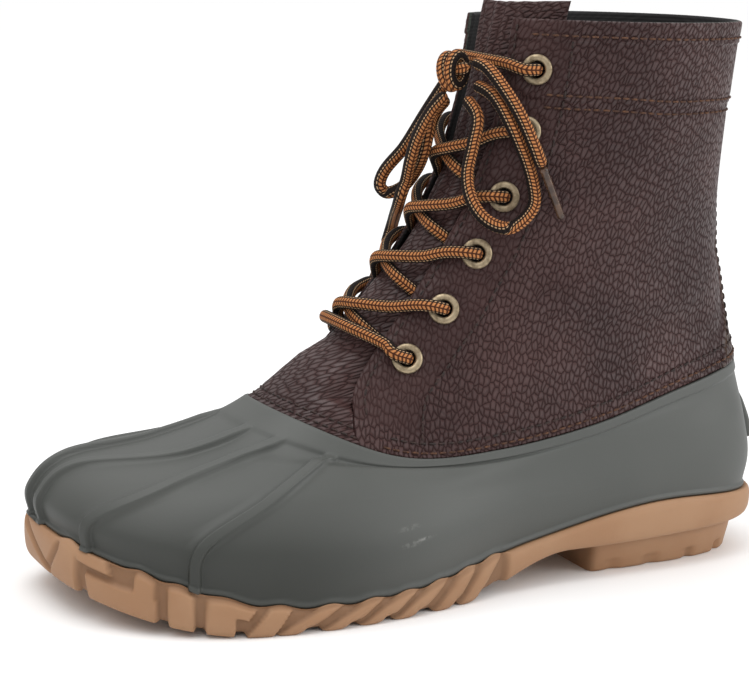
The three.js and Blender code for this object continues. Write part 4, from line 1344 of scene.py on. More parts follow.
@dataclass
class SoleEdge:
    """Where lugs, grooves and scallops lie along the sole's edge."""

    lugs: tuple[Lug, ...] = (
        Lug((-40, 33.5), (-40, 34.5), (-0.2, 1.2)),
        Lug((38.5, 64), (38, 64.5), (-0.2, 0.56)),
        Lug((55.5, 64), (57, 63.5), (0.3, 0.92)),
        Lug((34, 55), (34, 46), (0.72, 1.3)),
        Lug((68, 76.5), (67.5, 76), (-0.2, 0.9)),
        Lug((80, 89.5), (80.5, 90), (-0.2, 0.9)),
        Lug((86, 90), (86, 97), (0.5, 0.9)),
        Lug((93, 102.5), (101, 108.5), (-0.2, 0.92)))
    beans: tuple[float, ...] = (122, 137.5, 151, 164, 177, 189)
    humps: tuple[tuple[float, float], ...] = (
        (29.5, 4.5), (58.5, 4.5), (71.5, 4.5), (86.5, 6.5), (104.5, 5), (122, 5), (137.5, 5),
        (151, 4.6), (164, 4.6), (177, 4.6), (189, 4.2))
    hump_height: float = 1.5
    lug_slope: float = 0.8
    bean_half: float = 4.9
    vee: tuple[tuple[float, float], ...] = ((-7, 0.95), (17, 0.12), (24, 0.82))
    plain_from: float = 195.0
    wall_height: float = 9.5

    def lengths(self, angle: Array) -> Array:
        """Length along the sole line from the toe's tip.

        Args:
            angle: degrees around the foot.

        Returns:
            Lengths in mm, negative on the inner side.
        """
        probe = np.concatenate([[0], np.geomspace(0.01, 180, 700)])
        wrapped = (angle + 180) % 360 - 180
        result = np.zeros_like(wrapped)
        for side in (1, -1):
            line = FORM.point(side * probe, 0)
            run = run_of(line)
            length = side * np.interp(np.abs(wrapped), probe, run)
            result = np.where(np.sign(wrapped) == side, length, result)
        return result

    def scallop(self, angle: Array) -> Array:
        """Height of the humps over the lugs: a row of bell curves.

        Args:
            angle: degrees around the foot.

        Returns:
            Heights in mm.
        """
        away = np.abs(self.lengths(angle))
        humps = [np.exp(-((away - place) / half) ** 2) for place, half in self.humps]
        return self.hump_height * np.clip(sum(humps), 0, 1.1)

    def relief(self, run: Array, rise: Array) -> Array:
        """How far the wall stands out, from 0 in a recess to 1 on a lug.

        Each lug is the product of soft steps in from its four sides. A bean is a half wave
        across a line that leans, and the vee is a groove along two straight lines.

        Args:
            run: mm along the sole line from the toe.
            rise: share of the wall's height.

        Returns:
            The relief.
        """
        run, rise = np.broadcast_arrays(run, rise)
        away = np.abs(run)
        stand = np.zeros_like(away)
        for lug in self.lugs:
            left = lug.low[0] + (lug.high[0] - lug.low[0]) * rise
            right = lug.low[1] + (lug.high[1] - lug.low[1]) * rise
            soft = self.lug_slope
            mask = (smooth((away - left) / soft + 0.5) * smooth((right - away) / soft + 0.5)
                    * smooth((rise - lug.span[0]) * self.wall_height / soft + 0.5)
                    * smooth((lug.span[1] - rise) * self.wall_height / (1.6 * soft) + 0.5))
            stand = np.maximum(stand, mask)
        for place in self.beans:
            lean = 14.5 if place < 170 else 11
            middle = place - lean * (1 - rise)
            across = np.abs(away - middle) / self.bean_half
            bean = np.sqrt(np.clip(1 - across**3.2, 0, 1)) * (1 - 0.9 * smooth((rise - 0.82) / 0.25))
            stand = np.maximum(stand, bean)
        stand = np.maximum(stand, smooth((away - self.plain_from + 1) / 2.5))
        for (s0, h0), (s1, h1) in zip(self.vee, self.vee[1:]):
            start = np.array([s0, h0 * self.wall_height])
            step = np.array([s1, h1 * self.wall_height]) - start
            place = np.stack([run, rise * self.wall_height], -1) - start
            share = np.clip(place @ step / (step @ step), 0, 1)
            apart = np.linalg.norm(place - share[..., None] * step, axis=-1)
            stand = np.minimum(stand, 0.25 + 0.75 * smooth((apart - 0.35) / 1.1))
        return stand


SOLE_EDGE = SoleEdge()


@dataclass
class Outsole:
    """Gum sole: lugged wall, tread, arch and heel."""

    finishes: Wardrobe
    edge: SoleEdge = field(default_factory=lambda: SOLE_EDGE)
    lug_depth: float = 1.9
    feather_gap: float = 0.3
    tread_depth: float = 2.6
    breast: float = -0.237
    toe_spring: float = 13.5
    arch_rise: float = 12.0
    heel_pitch: float = 2.0
    columns: int = 760
    heel_rows: tuple[float, ...] = (
        0.0, 0.0, 0.25, 0.9, 1.8, 2.8, 3.8, 4.6, 5.2, 6.5, 8, 9.5, 11, 12.4, 14, 16)
    heel_inset: tuple[tuple[float, ...], ...] = ((0, 9, 16), (5.6, 3.7, 3.0))
    heel_foot: tuple[float, ...] = (2.2, 0.9, 0.3)
    heel_recess: float = 0.2
    wall: tuple[tuple[float, ...], ...] = (
        (0, 0.06, 0.2, 0.4, 0.75, 0.93, 1), (1.5, 2.2, 2.8, 3.15, 3.2, 2.7, 2.0))
    top_rings: tuple[tuple[float, float], ...] = ((1.4, 0), (0.75, 0.15), (0.6, 1.2), (-3, 1.4))

    def bottom(self, x: Array) -> Array:
        """Height of the sole's underside: toe spring squared, a soft arch, a pitched heel.

        Args:
            x: place along the foot in mm.

        Returns:
            Heights in mm.
        """
        place = x / LENGTH
        toe = np.maximum(0, (place - 0.26) / 0.24)
        arch = smooth((-0.005 - place) / 0.18)
        heel = np.clip((self.breast - place) / (0.5 + self.breast), 0, 1)
        return self.toe_spring * toe**2 + self.arch_rise * arch + self.heel_pitch * heel

    def even_angles(self) -> Array:
        """Angles a like length apart along the sole line, symmetric about the toe.

        Returns:
            One angle a column.
        """
        probe = np.concatenate([[0], np.geomspace(0.01, 180, 900)])
        run = self.edge.lengths(np.minimum(probe, 179.999))
        half = self.columns // 2
        wanted = np.linspace(0, run[-1], half + 1)
        outer = np.interp(wanted, run, probe)
        return np.concatenate([outer, 360 - outer[-2:0:-1]])

    def heel(self) -> Surface:
        """Heel block: the sole's outline drawn in, a straight breast, notches at its foot.

        Returns:
            The closed block.
        """
        sole = RINGS[0]
        turn = math.degrees(math.acos(2 * (self.breast - sole.back) / (sole.front - sole.back) - 1))
        arc = np.linspace(0, 1, 220)
        angle = turn + (360 - 2 * turn) * (arc + 0.06 * np.sin(2 * np.pi * arc) / np.pi)
        height = np.array(self.heel_rows)
        inset = np.interp(height, *self.heel_inset)
        inset[:3] += self.heel_foot
        run = np.abs(self.edge.lengths(angle))
        notch_at = run[0] + np.arange(5) * (run.max() - run[0]) / 5.2 + 9
        notch = np.max([np.exp(-((run - place) / 1.7) ** 4) for place in notch_at], 0)
        deep = 1.9 * notch * (1 - smooth((height[:, None] - 3.6) / 1.2))
        seam = 0.8 * np.exp(-((height[:, None] - 12.6) / 0.7) ** 2)
        side = FORM.beside_feather(np.broadcast_to(angle, deep.shape), -inset[:, None] - deep - seam)
        share = np.linspace(0, 1, 42)[1:-1, None]
        breast = side[:, -1:, :] + (side[:, :1, :] - side[:, -1:, :]) * share[None]
        ring = np.concatenate([side, breast], 1)
        ring[..., 2] = height[:, None]
        for _ in range(4):
            ring = (np.roll(ring, 1, 1) + 2 * ring + np.roll(ring, -1, 1)) / 4
        middle = len(angle) // 2
        # recess mask: where the gum gets painted shade
        recess = np.concatenate([deep, 0 * breast[..., 0]], 1) * self.heel_recess
        return capped(np.roll(ring, -middle, 1), {"recess": recess})

    def tread(self, angle: Array, run: Array, fade: Array) -> list[tuple[Array, Array]]:
        """Rings of the underside from its middle line outward, recessed between the lugs.

        Args:
            angle: one a column.
            run: mm along the sole line from the toe.
            fade: 1 where there are lugs, 0 at the arch and heel.

        Returns:
            Points and recess of each ring.
        """
        rings = []
        edge_stand = self.edge.relief(run, 0 * run)
        for share in np.concatenate([np.linspace(0.94, 0.1, 15), [0.06, 0.03]]):
            at = FORM.beside_feather(angle, -1.0)
            line = np.stack([at[:, 0], FORM.centre_line(at[:, 0]), at[:, 2]], -1)
            at = at + (line - at) * share
            groove = self.tread_depth * (1 - edge_stand) * fade
            at[:, 2] = self.bottom(at[:, 0]) + groove
            rings.append((at, np.clip(groove / self.tread_depth, 0, 1)))
        return rings

    def side(self, angle: Array, run: Array, fade: Array) -> list[tuple[Array, Array]]:
        """Rings of the lugged wall from the ground up, and of its scalloped top edge.

        Args:
            angle: one a column.
            run: mm along the sole line from the toe.
            fade: 1 where there are lugs, 0 at the arch and heel.

        Returns:
            Points and recess of each ring.
        """
        rings = []
        top = FORM.point(angle, 0)[:, 2] - self.feather_gap
        rise = np.concatenate([[0, 0.03], np.linspace(0.08, 0.9, 24), [0.94, 0.97, 1.0]])
        profile = through(*self.wall, rise)
        stand = self.edge.relief(run[None], rise[:, None])
        scallop = self.edge.scallop(angle)
        for k, height in enumerate(rise):
            reach = profile[k] - self.lug_depth * (1 - stand[k]) * smooth((1.06 - height) / 0.14)
            at = FORM.beside_feather(angle, reach)
            low = self.bottom(at[:, 0]) + self.tread_depth * 0.5 * (1 - stand[0]) * fade * (1 - height)
            at[:, 2] = low + (top + scallop - low) * height
            rings.append((at, (1 - stand[k]) * smooth((1.04 - height) / 0.12)))
        for reach, lower in self.top_rings:
            at = FORM.beside_feather(angle, reach)
            held = np.minimum(lower, scallop + 0.2) if lower > 0.5 else lower
            at[:, 2] = top + scallop - held
            rings.append((at, 0 * angle))
        return rings

    def build(self) -> None:
        """Wall, ledge and tread as rings of one skin, closed by strips across."""
        angle = self.even_angles()
        run = self.edge.lengths(angle)
        fade = smooth((self.edge.plain_from + 4 - np.abs(run)) / 8)
        rows, marks = zip(*self.tread(angle, run, fade), *self.side(angle, run, fade))
        # the recess marks set where the gum gets painted shade
        skin = capped(np.stack(rows), {"recess": np.stack(marks)})
        piece_of("outsole_gum", joined([skin, self.heel()]), [self.finishes.gum], ["outsole"])


@dataclass
class Insole:
    """Footbed on the shell's floor, cupped at its edge."""

    finishes: Wardrobe
    inset: float = 3.7
    lift: float = 3.3
    thickness: float = 4.0
    section: tuple[tuple[float, float], ...] = (
        (0.95, 0), (0.5, 0), (0.05, 0), (0.012, 0.3), (0, 1.2), (0, 2.8), (0.012, 3.6), (0.04, 4.0),
        (0.12, 3.6), (0.25, 3.3), (0.5, 3.1), (0.75, 3.05), (0.95, 3.0))

    def build(self) -> None:
        """Rings from the middle of the underside round the edge to the middle of the top."""
        near = np.linspace(0, 1, 60) ** 1.4 * 90
        angle = np.concatenate([near, 180 - near[-2::-1]])
        angle = np.concatenate([angle, 360 - angle[-2:0:-1]])
        edge = FORM.skin(angle, FLOOR_LEVEL, -self.inset)
        edge[:, 2] = FORM.point(angle, 0)[:, 2] + self.lift
        line = np.stack([edge[:, 0], FORM.centre_line(edge[:, 0]), edge[:, 2]], -1)
        rows = []
        for share, height in self.section:
            at = edge + (line - edge) * share
            at[:, 2] = edge[:, 2] + height * self.thickness / 4
            rows.append(at)
        piece_of("insole_bed", capped(np.stack(rows)), [self.finishes.lining], ["insole"])


@dataclass(frozen=True)
class Seam:
    """A row of stitches: angles and levels along it, and its thread."""

    track: tuple[tuple[float, float], ...]
    tan: bool = False


@dataclass
class Stitching:
    """Small capsules of thread laid end to end along seams, in the leather's own relief."""

    pitch: float = 3.3
    length: float = 2.5
    radius: float = 0.38

    def capsules(self, path: Array, normals: Array) -> Surface:
        """One capsule a pitch, each turned along the path and level with the leather.

        A point of a capsule is its middle, plus its height times the path's direction,
        plus its section times the sideways and outward directions.

        Args:
            path: points along the seam.
            normals: directions out of the leather.

        Returns:
            All the capsules as one surface.
        """
        run = run_of(path)
        count = max(1, int(run[-1] / self.pitch))
        places = (np.arange(count) + 0.5) * run[-1] / count
        middle = at_places(places, run, path)
        out = unit(at_places(places, run, normals))
        ahead = at_places(places + 0.5, run, path) - at_places(places - 0.5, run, path)
        ahead = unit(ahead - out * (ahead * out).sum(1, keepdims=True))
        side = np.cross(out, ahead)
        along = np.array([-0.5, -0.46, -0.3, 0, 0.3, 0.46, 0.5]) * self.length
        thick = np.array([0.15, 0.6, 0.95, 1, 0.95, 0.6, 0.15]) * self.radius
        dip = np.array([0.5, 0.25, 0.05, 0, 0.05, 0.25, 0.5]) * self.radius * 2
        turn = np.linspace(0, 2 * np.pi, 8, endpoint=False)
        offset = (along[None, :, None, None] * ahead[:, None, None]
                  + (thick[None, :, None, None] * np.cos(turn)[None, None, :, None]) * side[:, None, None]
                  + (thick[None, :, None, None] * np.sin(turn)[None, None, :, None]
                     - dip[None, :, None, None]) * out[:, None, None])
        points = middle[:, None, None] + offset
        block = len(along) * len(turn)
        grid = np.arange(block).reshape(len(along), len(turn))
        quads = quads_of(grid, True).reshape(-1, 4)[:, ::-1]
        ends = np.array([[0, 1, 2, 3], [0, 3, 4, 7], [4, 5, 6, 7]])
        quads = np.concatenate([quads, ends, ends[:, ::-1] + block - len(turn)])
        faces = (quads[None] + block * np.arange(count)[:, None, None]).reshape(-1, 4)
        return Surface(points.reshape(-1, 3), faces)


@dataclass
class Upper:
    """Leather shaft: one hollow wall, open in front, with cuff, binding, back stay and seams."""

    finishes: Wardrobe
    stitching: Stitching
    edge_gap: float = 0.45
    stay_raise: float = 1.1
    stay_level: tuple[float, ...] = (4, 4.4, 5, 5.5, 8.4)
    stay_half: tuple[float, ...] = (32, 27, 17, 13, 12)
    hole: float = 3.2
    eyelet_seat: float = 5.5
    eyelet_reach: float = 14.0
    eyelet_fall: float = 8.0
    eyelet_waves: tuple[tuple[float, ...], ...] = ((-0.3, 5.9, 0.9), (0.35, 8.2, 1.8))
    cuff_rows: tuple[float, ...] = (7.16, 7.175, 7.185, 7.192, 7.205)
    binding_rows: tuple[float, ...] = (7.772, 7.78, 7.788, 7.795, 7.803)
    cuff_seams: tuple[float, ...] = (7.11, 7.235)
    binding_seam: float = 7.84
    low_seams: tuple[float, ...] = (2.6, 6.2)
    low_front: float = 46.5
    front_inset: float = 3.6
    stay_inset: float = 2.2
    thread_lift: float = 0.12
    flat_scale: tuple[float, float] = (0.75, 30)
    seam_dip: float = 0.35
    eyestay: tuple[tuple[float, float], ...] = (
        (56.5, 7.8), (57, 7.5), (57, 7.1), (57, 6.85), (57, 5.9), (56.5, 5.75), (55, 5.53),
        (54.5, 5.38), (52, 5.08), (51.5, 4.95), (50, 4.67), (55, 4.25))
    creases: tuple[tuple[float, ...], ...] = (
        (75, 5.25, 135, 4.95, 8.0, -0.9), (70, 5.75, 120, 5.55, 9.0, -0.7),
        (95, 4.75, 150, 4.6, 6.0, -0.6), (120, 5.9, 165, 5.6, 8.0, -0.8),
        (82, 5.5, 128, 5.25, 8.0, 0.6), (-75, 5.3, -135, 5.0, 8.0, -0.9),
        (-70, 5.8, -125, 5.5, 9.0, -0.7), (-120, 6.2, -165, 5.9, 9.0, -0.6),
        (70, 6.6, 84, 5.9, 9.0, -0.35), (-72, 6.7, -86, 6.0, 9.0, -0.35))

    def bottom(self, angle: Array, above: float) -> Array:
        """Level of the leather's lower edge, and a length above it."""
        return FORM.level_above(angle, TOPLINE, self.edge_gap + above)

    def seams(self) -> list[Seam]:
        """All rows of stitches on one side, and those that go round the back.

        Returns:
            The seams.
        """
        levels = np.linspace(4.35, 7.95, 24)
        edge = FORM.quarter_edge(levels) + self.front_inset
        seams = [Seam(tuple((float(a), float(level)) for a, level in zip(edge, levels))),
                 Seam(self.eyestay)]
        around = np.linspace(38, 180, 40)
        low = np.linspace(self.low_front, 180, 44)
        for level in self.cuff_seams:
            seams.append(Seam(tuple((float(a), level) for a in around[3:]), tan=True))
        seams.append(Seam(tuple((float(a), self.binding_seam) for a in around), tan=True))
        for above in self.low_seams:
            track = tuple((float(a), float(self.bottom(a, above))) for a in low)
            seams.append(Seam(track, tan=above == self.low_seams[0]))
        rise = np.linspace(4.5, 7.1, 20)
        half = np.interp(rise, self.stay_level, self.stay_half) - self.stay_inset
        seams.append(Seam(tuple((180 - float(h), float(r)) for h, r in zip(half, rise))))
        return seams

    def seam_points(self, seam: Seam, side: int, lift: float) -> tuple[Array, Array]:
        """Points along a seam on the leather, and the directions out of it.

        Args:
            seam: which one.
            side: 1 outer, -1 inner.
            lift: above the leather.

        Returns:
            Points and directions.
        """
        track = line_of(np.array(seam.track) * (1, 20), 1.0) / (1, 20)
        angle, level = side * track[:, 0], track[:, 1]
        height = self.raise_of(angle, level) + lift
        return FORM.skin(angle, level, height), FORM.outward(angle, level)

    def raise_of(self, angle: Array, level: Array) -> Array:
        """Steps of the wall: cuff, binding and back stay as soft steps, creases as troughs.

        Args:
            angle: one a point, in degrees.
            level: one a point.

        Returns:
            Height over the last in mm.
        """
        wrapped = (angle + 180) % 360 - 180
        lift = CUFF_RAISE * smooth((level - CUFF_LEVEL) / 0.02 + 1)
        lift = lift + CUFF_RAISE * smooth((level - BINDING_LEVEL) / 0.02 + 1)
        half = np.interp(level, self.stay_level, self.stay_half)
        from_heel = 180 - np.abs(wrapped)
        lift = lift + self.stay_raise * smooth((half - from_heel) / 1.6 + 0.5)
        flat = np.stack([wrapped, level], -1) * self.flat_scale
        for a0, l0, a1, l1, wide, deep in self.creases:
            start = np.array([a0, l0]) * self.flat_scale
            step = np.array([a1, l1]) * self.flat_scale - start
            share = ((flat - start) @ step) / (step @ step)
            apart = np.linalg.norm(flat - start - np.clip(share, 0, 1)[..., None] * step, axis=-1)
            lift = lift + deep * np.exp(-(apart / wide * 1.8) ** 2)
        return lift

    def grid(self) -> tuple[Array, Array]:
        """Rows from the lower edge to the collar, columns from one front edge to the other.

        Returns:
            Angles and levels.
        """
        rim = np.array(RIM)
        body = np.linspace(0, 1, 108)[1:-1]
        fixed = np.concatenate([self.cuff_rows, np.linspace(7.23, 7.76, 20),
                                self.binding_rows, np.linspace(7.83, 7.94, 6)])
        shares = np.linspace(0, 1, 118)[1:]
        guess = np.concatenate([np.full(len(rim), 4.1), 4.1 + 3.05 * body, fixed, np.full(len(rim), 8.0)])
        front = FORM.quarter_edge(np.minimum(guess, COLLAR))
        halves = []
        for side in (1, -1):
            per_degree = np.linalg.norm(FORM.around(side * front, guess), axis=-1)[:, None]
            near = front[:, None] + rim / per_degree
            rest = 180 - (180 - near[:, -1:]) * (1 - shares) ** 1.2
            halves.append(np.concatenate([near, rest], 1))
        angle = np.concatenate([halves[0], 360 - halves[1][:, -2::-1]], 1)
        low = np.stack([self.bottom(angle[k], off) for k, off in enumerate(rim)])
        start = self.bottom(angle[len(rim) + len(body) // 2], rim[-1])[None]
        middle = start + (self.cuff_rows[0] - start) * body[:, None]
        per_level = np.linalg.norm(FORM.up(angle[-1], COLLAR - 0.1), axis=-1)
        high = COLLAR - rim[::-1, None] / per_level
        across = np.broadcast_to(fixed[:, None], (len(fixed), angle.shape[1]))
        return angle, np.concatenate([low, middle, across, high])

    def around_eyelets(self, points: Array, lift: Array) -> tuple[Array, Array]:
        """Leather drawn flat under each eyelet, with a moat, a swell and a hole.

        Args:
            points: of the last, in rows and columns.
            lift: height of the leather over them.

        Returns:
            The new heights, and which quads stay.
        """
        keep = np.ones((len(points) - 1, points.shape[1] - 1), bool)
        for side in (1, -1):
            for eye_level, eye_angle in EYELETS:
                centre = FORM.point(side * eye_angle, eye_level)
                axis = FORM.outward(side * eye_angle, eye_level)
                away = points - centre
                fall = away @ axis
                flat = np.linalg.norm(away - fall[..., None] * axis, axis=-1)
                near = (flat < self.eyelet_reach) & (np.abs(fall) < self.eyelet_fall)
                lift = lift - np.where(near, fall * (1 - smooth((flat - self.eyelet_seat) / 4)), 0)
                for height, place, width in self.eyelet_waves:
                    lift = lift + np.where(near, height * np.exp(-((flat - place) / width) ** 2), 0)
                quad = (away[1:, 1:] + away[:-1, :-1] + away[1:, :-1] + away[:-1, 1:]) / 4
                quad_flat = np.linalg.norm(quad - (quad @ axis)[..., None] * axis, axis=-1)
                keep &= ~((quad_flat < self.hole) & near[1:, 1:])
        return lift, keep

    def sewn(self, points: Array, out: Array, lift: Array) -> tuple[Array, dict[bool, list[Surface]]]:
        """Grooves under all seams, and their stitches.

        Args:
            points: of the last, in rows and columns.
            out: directions out of the last.
            lift: height of the leather.

        Returns:
            Depth of the grooves from 0 to 1, and the stitches by whether their thread is tan.
        """
        groove = np.zeros_like(lift)
        threads: dict[bool, list[Surface]] = {False: [], True: []}
        for seam in self.seams():
            for side in (1, -1):
                path, normals = self.seam_points(seam, side, self.thread_lift)
                base = self.seam_points(seam, side, 0.0)[0]
                box = ((points > base.min(0) - 3) & (points < base.max(0) + 3)).all(-1)
                picked = points[box] + out[box] * lift[box][:, None]
                apart = np.min(np.linalg.norm(picked[:, None] - base[None, ::2], axis=-1), 1)
                groove[box] = np.maximum(groove[box], np.exp(-apart**2))
                threads[seam.tan].append(self.stitching.capsules(path, normals))
        return groove, threads

    def build(self) -> None:
        """Wall with rounded edges and eyelet holes, and its stitches."""
        angle, level = self.grid()
        points, out = FORM.point(angle, level), FORM.outward(angle, level)
        lift, keep = self.around_eyelets(points, self.raise_of(angle, level))
        groove, threads = self.sewn(points, out, lift)
        lift = lift - self.seam_dip * groove
        rounding = rounding_of(np.array(RIM), angle.shape)
        wrapped = (angle + 180) % 360 - 180
        outer = points + out * (lift - rounding)[..., None]
        inner = points + out * (-LEATHER + rounding)[..., None]
        stay_angles, stay_levels = zip(*self.eyestay[::-1])
        stay_line = np.interp(level, stay_levels, stay_angles)
        smooth_mask = 0.75 * smooth((stay_line - np.abs(wrapped)) / 1.5) * (level > 4.3)
        half = np.interp(level, self.stay_level, self.stay_half)
        stay_mask = smooth((half - (180 - np.abs(wrapped))) / 1.5 + 0.5) * (level < CUFF_LEVEL)
        masks = {"smooth": smooth_mask, "stay": stay_mask, "grain": grain_of(points, angle.shape[1] // 2)}
        wall = wall_of(outer, inner, keep, masks)
        piece_of("upper_leather", wall, [self.finishes.leather, self.finishes.lining, self.finishes.edge],
                 ["upper"])
        piece_of("upper_dark_stitches", joined(threads[False]), [self.finishes.thread])
        piece_of("upper_tan_stitches", joined(threads[True]), [self.finishes.tan_thread])


@dataclass
class Tongue:
    """Vamp and tongue: one wrinkled sheet of leather that runs up behind the quarters."""

    finishes: Wardrobe
    stitching: Stitching
    seam_above: tuple[float, ...] = (2.6, 5.6)
    thread_lift: float = -0.2
    seam_dip: float = 0.4
    level: tuple[float, ...] = (4, 4.33, 4.42, 4.62, 4.9, 5.5, 6.2, 7, 7.6, 8.2)
    overlap: tuple[float, ...] = (-0.9, -0.9, -0.9, 7, 10, 11, 11, 11, 11, 9)
    edge_inset: tuple[float, ...] = (0, 0, 2.7, 3.4, 4.8, 4.7, 4.7, 4.7, 4.7, 4.8)
    middle_inset: tuple[float, ...] = (0, 0, 0, 0.5, 3.6, 3.8, 4.2, 4.6, 5.2, 6)
    drift: tuple[float, ...] = (0, 0, 0, 0, 0, 1, 4, 9, 13, 16)
    edge_gap: float = 0.45

    def seam(self, above: float) -> Surface:
        """Row of stitches across the vamp between the quarters.

        Args:
            above: height over the leather's lower edge.

        Returns:
            Its capsules.
        """
        across = np.linspace(-46, 46, 185)
        row = FORM.level_above(across, TOPLINE, self.edge_gap + above)
        seen = np.abs(across) < FORM.quarter_edge(row) - 0.5
        across, row = across[seen], row[seen]
        path = FORM.skin(across, row, self.thread_lift)
        return self.stitching.capsules(path, FORM.outward(across, row))

    def build(self) -> None:
        """Columns across the foot at every level, with soft folds and rounded edges."""
        rim = np.array(RIM)
        level = np.concatenate([np.full(len(rim), 4.0), np.linspace(4.08, 8.12, 150), 8.2 - rim[::-1] / 28])
        half = FORM.quarter_edge(np.minimum(level, COLLAR)) + np.interp(level, self.level, self.overlap)
        share = np.linspace(-1, 1, 151)
        share = np.sign(share) * np.abs(share) ** 1.2
        near = 1 - rim / 28
        share = np.concatenate([-near, share[(np.abs(share) < near[-1] - 0.003)], near[::-1]])
        edge = smooth((np.abs(share) - 0.5) / 0.4)[None]
        mid, side = (np.interp(level, self.level, row)[:, None]
                     for row in (self.middle_inset, self.edge_inset))
        inset = mid + (side - mid) * edge
        angle = share[None] * half[:, None] + np.interp(level, self.level, self.drift)[:, None]
        low = np.stack([FORM.level_above(angle[k], TOPLINE, self.edge_gap + off)
                        for k, off in enumerate(rim)])
        rows = np.broadcast_to(level[:, None], angle.shape).copy()
        rows[:len(rim)] = low
        least = low[-1] + 0.004 * (1 + np.arange(len(level) - len(rim)))[:, None]
        rows[len(rim):] = np.maximum(rows[len(rim):], least)
        rows = np.maximum(rows, level[:, None])
        pleat = (0.45 * np.sin(angle * 0.55 + rows * 1.4) * smooth((rows - 5.2) / 1.2)
                 + 0.5 * np.sin(rows * 7.5 + 0.06 * angle) * smooth((rows - 4.7) / 0.5) * (1 - edge)
                 * (1 - smooth((rows - 6.3) / 1)))
        rounding = rounding_of(rim, angle.shape)
        above = (rows - low[0]) * np.linalg.norm(FORM.up(angle, rows), axis=-1)
        groove = sum(np.exp(-(above - height) ** 2) for height in self.seam_above)
        inset = inset - pleat * smooth((rows - 4.6) / 0.3) + self.seam_dip * groove
        outer = FORM.skin(angle, rows, -inset - rounding)
        inner = FORM.skin(angle, rows, -inset - LEATHER + rounding)
        grain = grain_of(outer, angle.shape[1] // 2)[..., [1, 0, 2]]
        masks = {"smooth": 0.25 * smooth((rows - 5) / 1), "stay": 0 * rows, "grain": grain}
        piece_of("tongue_leather", wall_of(outer, inner, None, masks),
                 [self.finishes.leather, self.finishes.lining, self.finishes.edge], ["tongue"])
        piece_of("tongue_stitches", joined([self.seam(above) for above in self.seam_above]),
                 [self.finishes.thread])


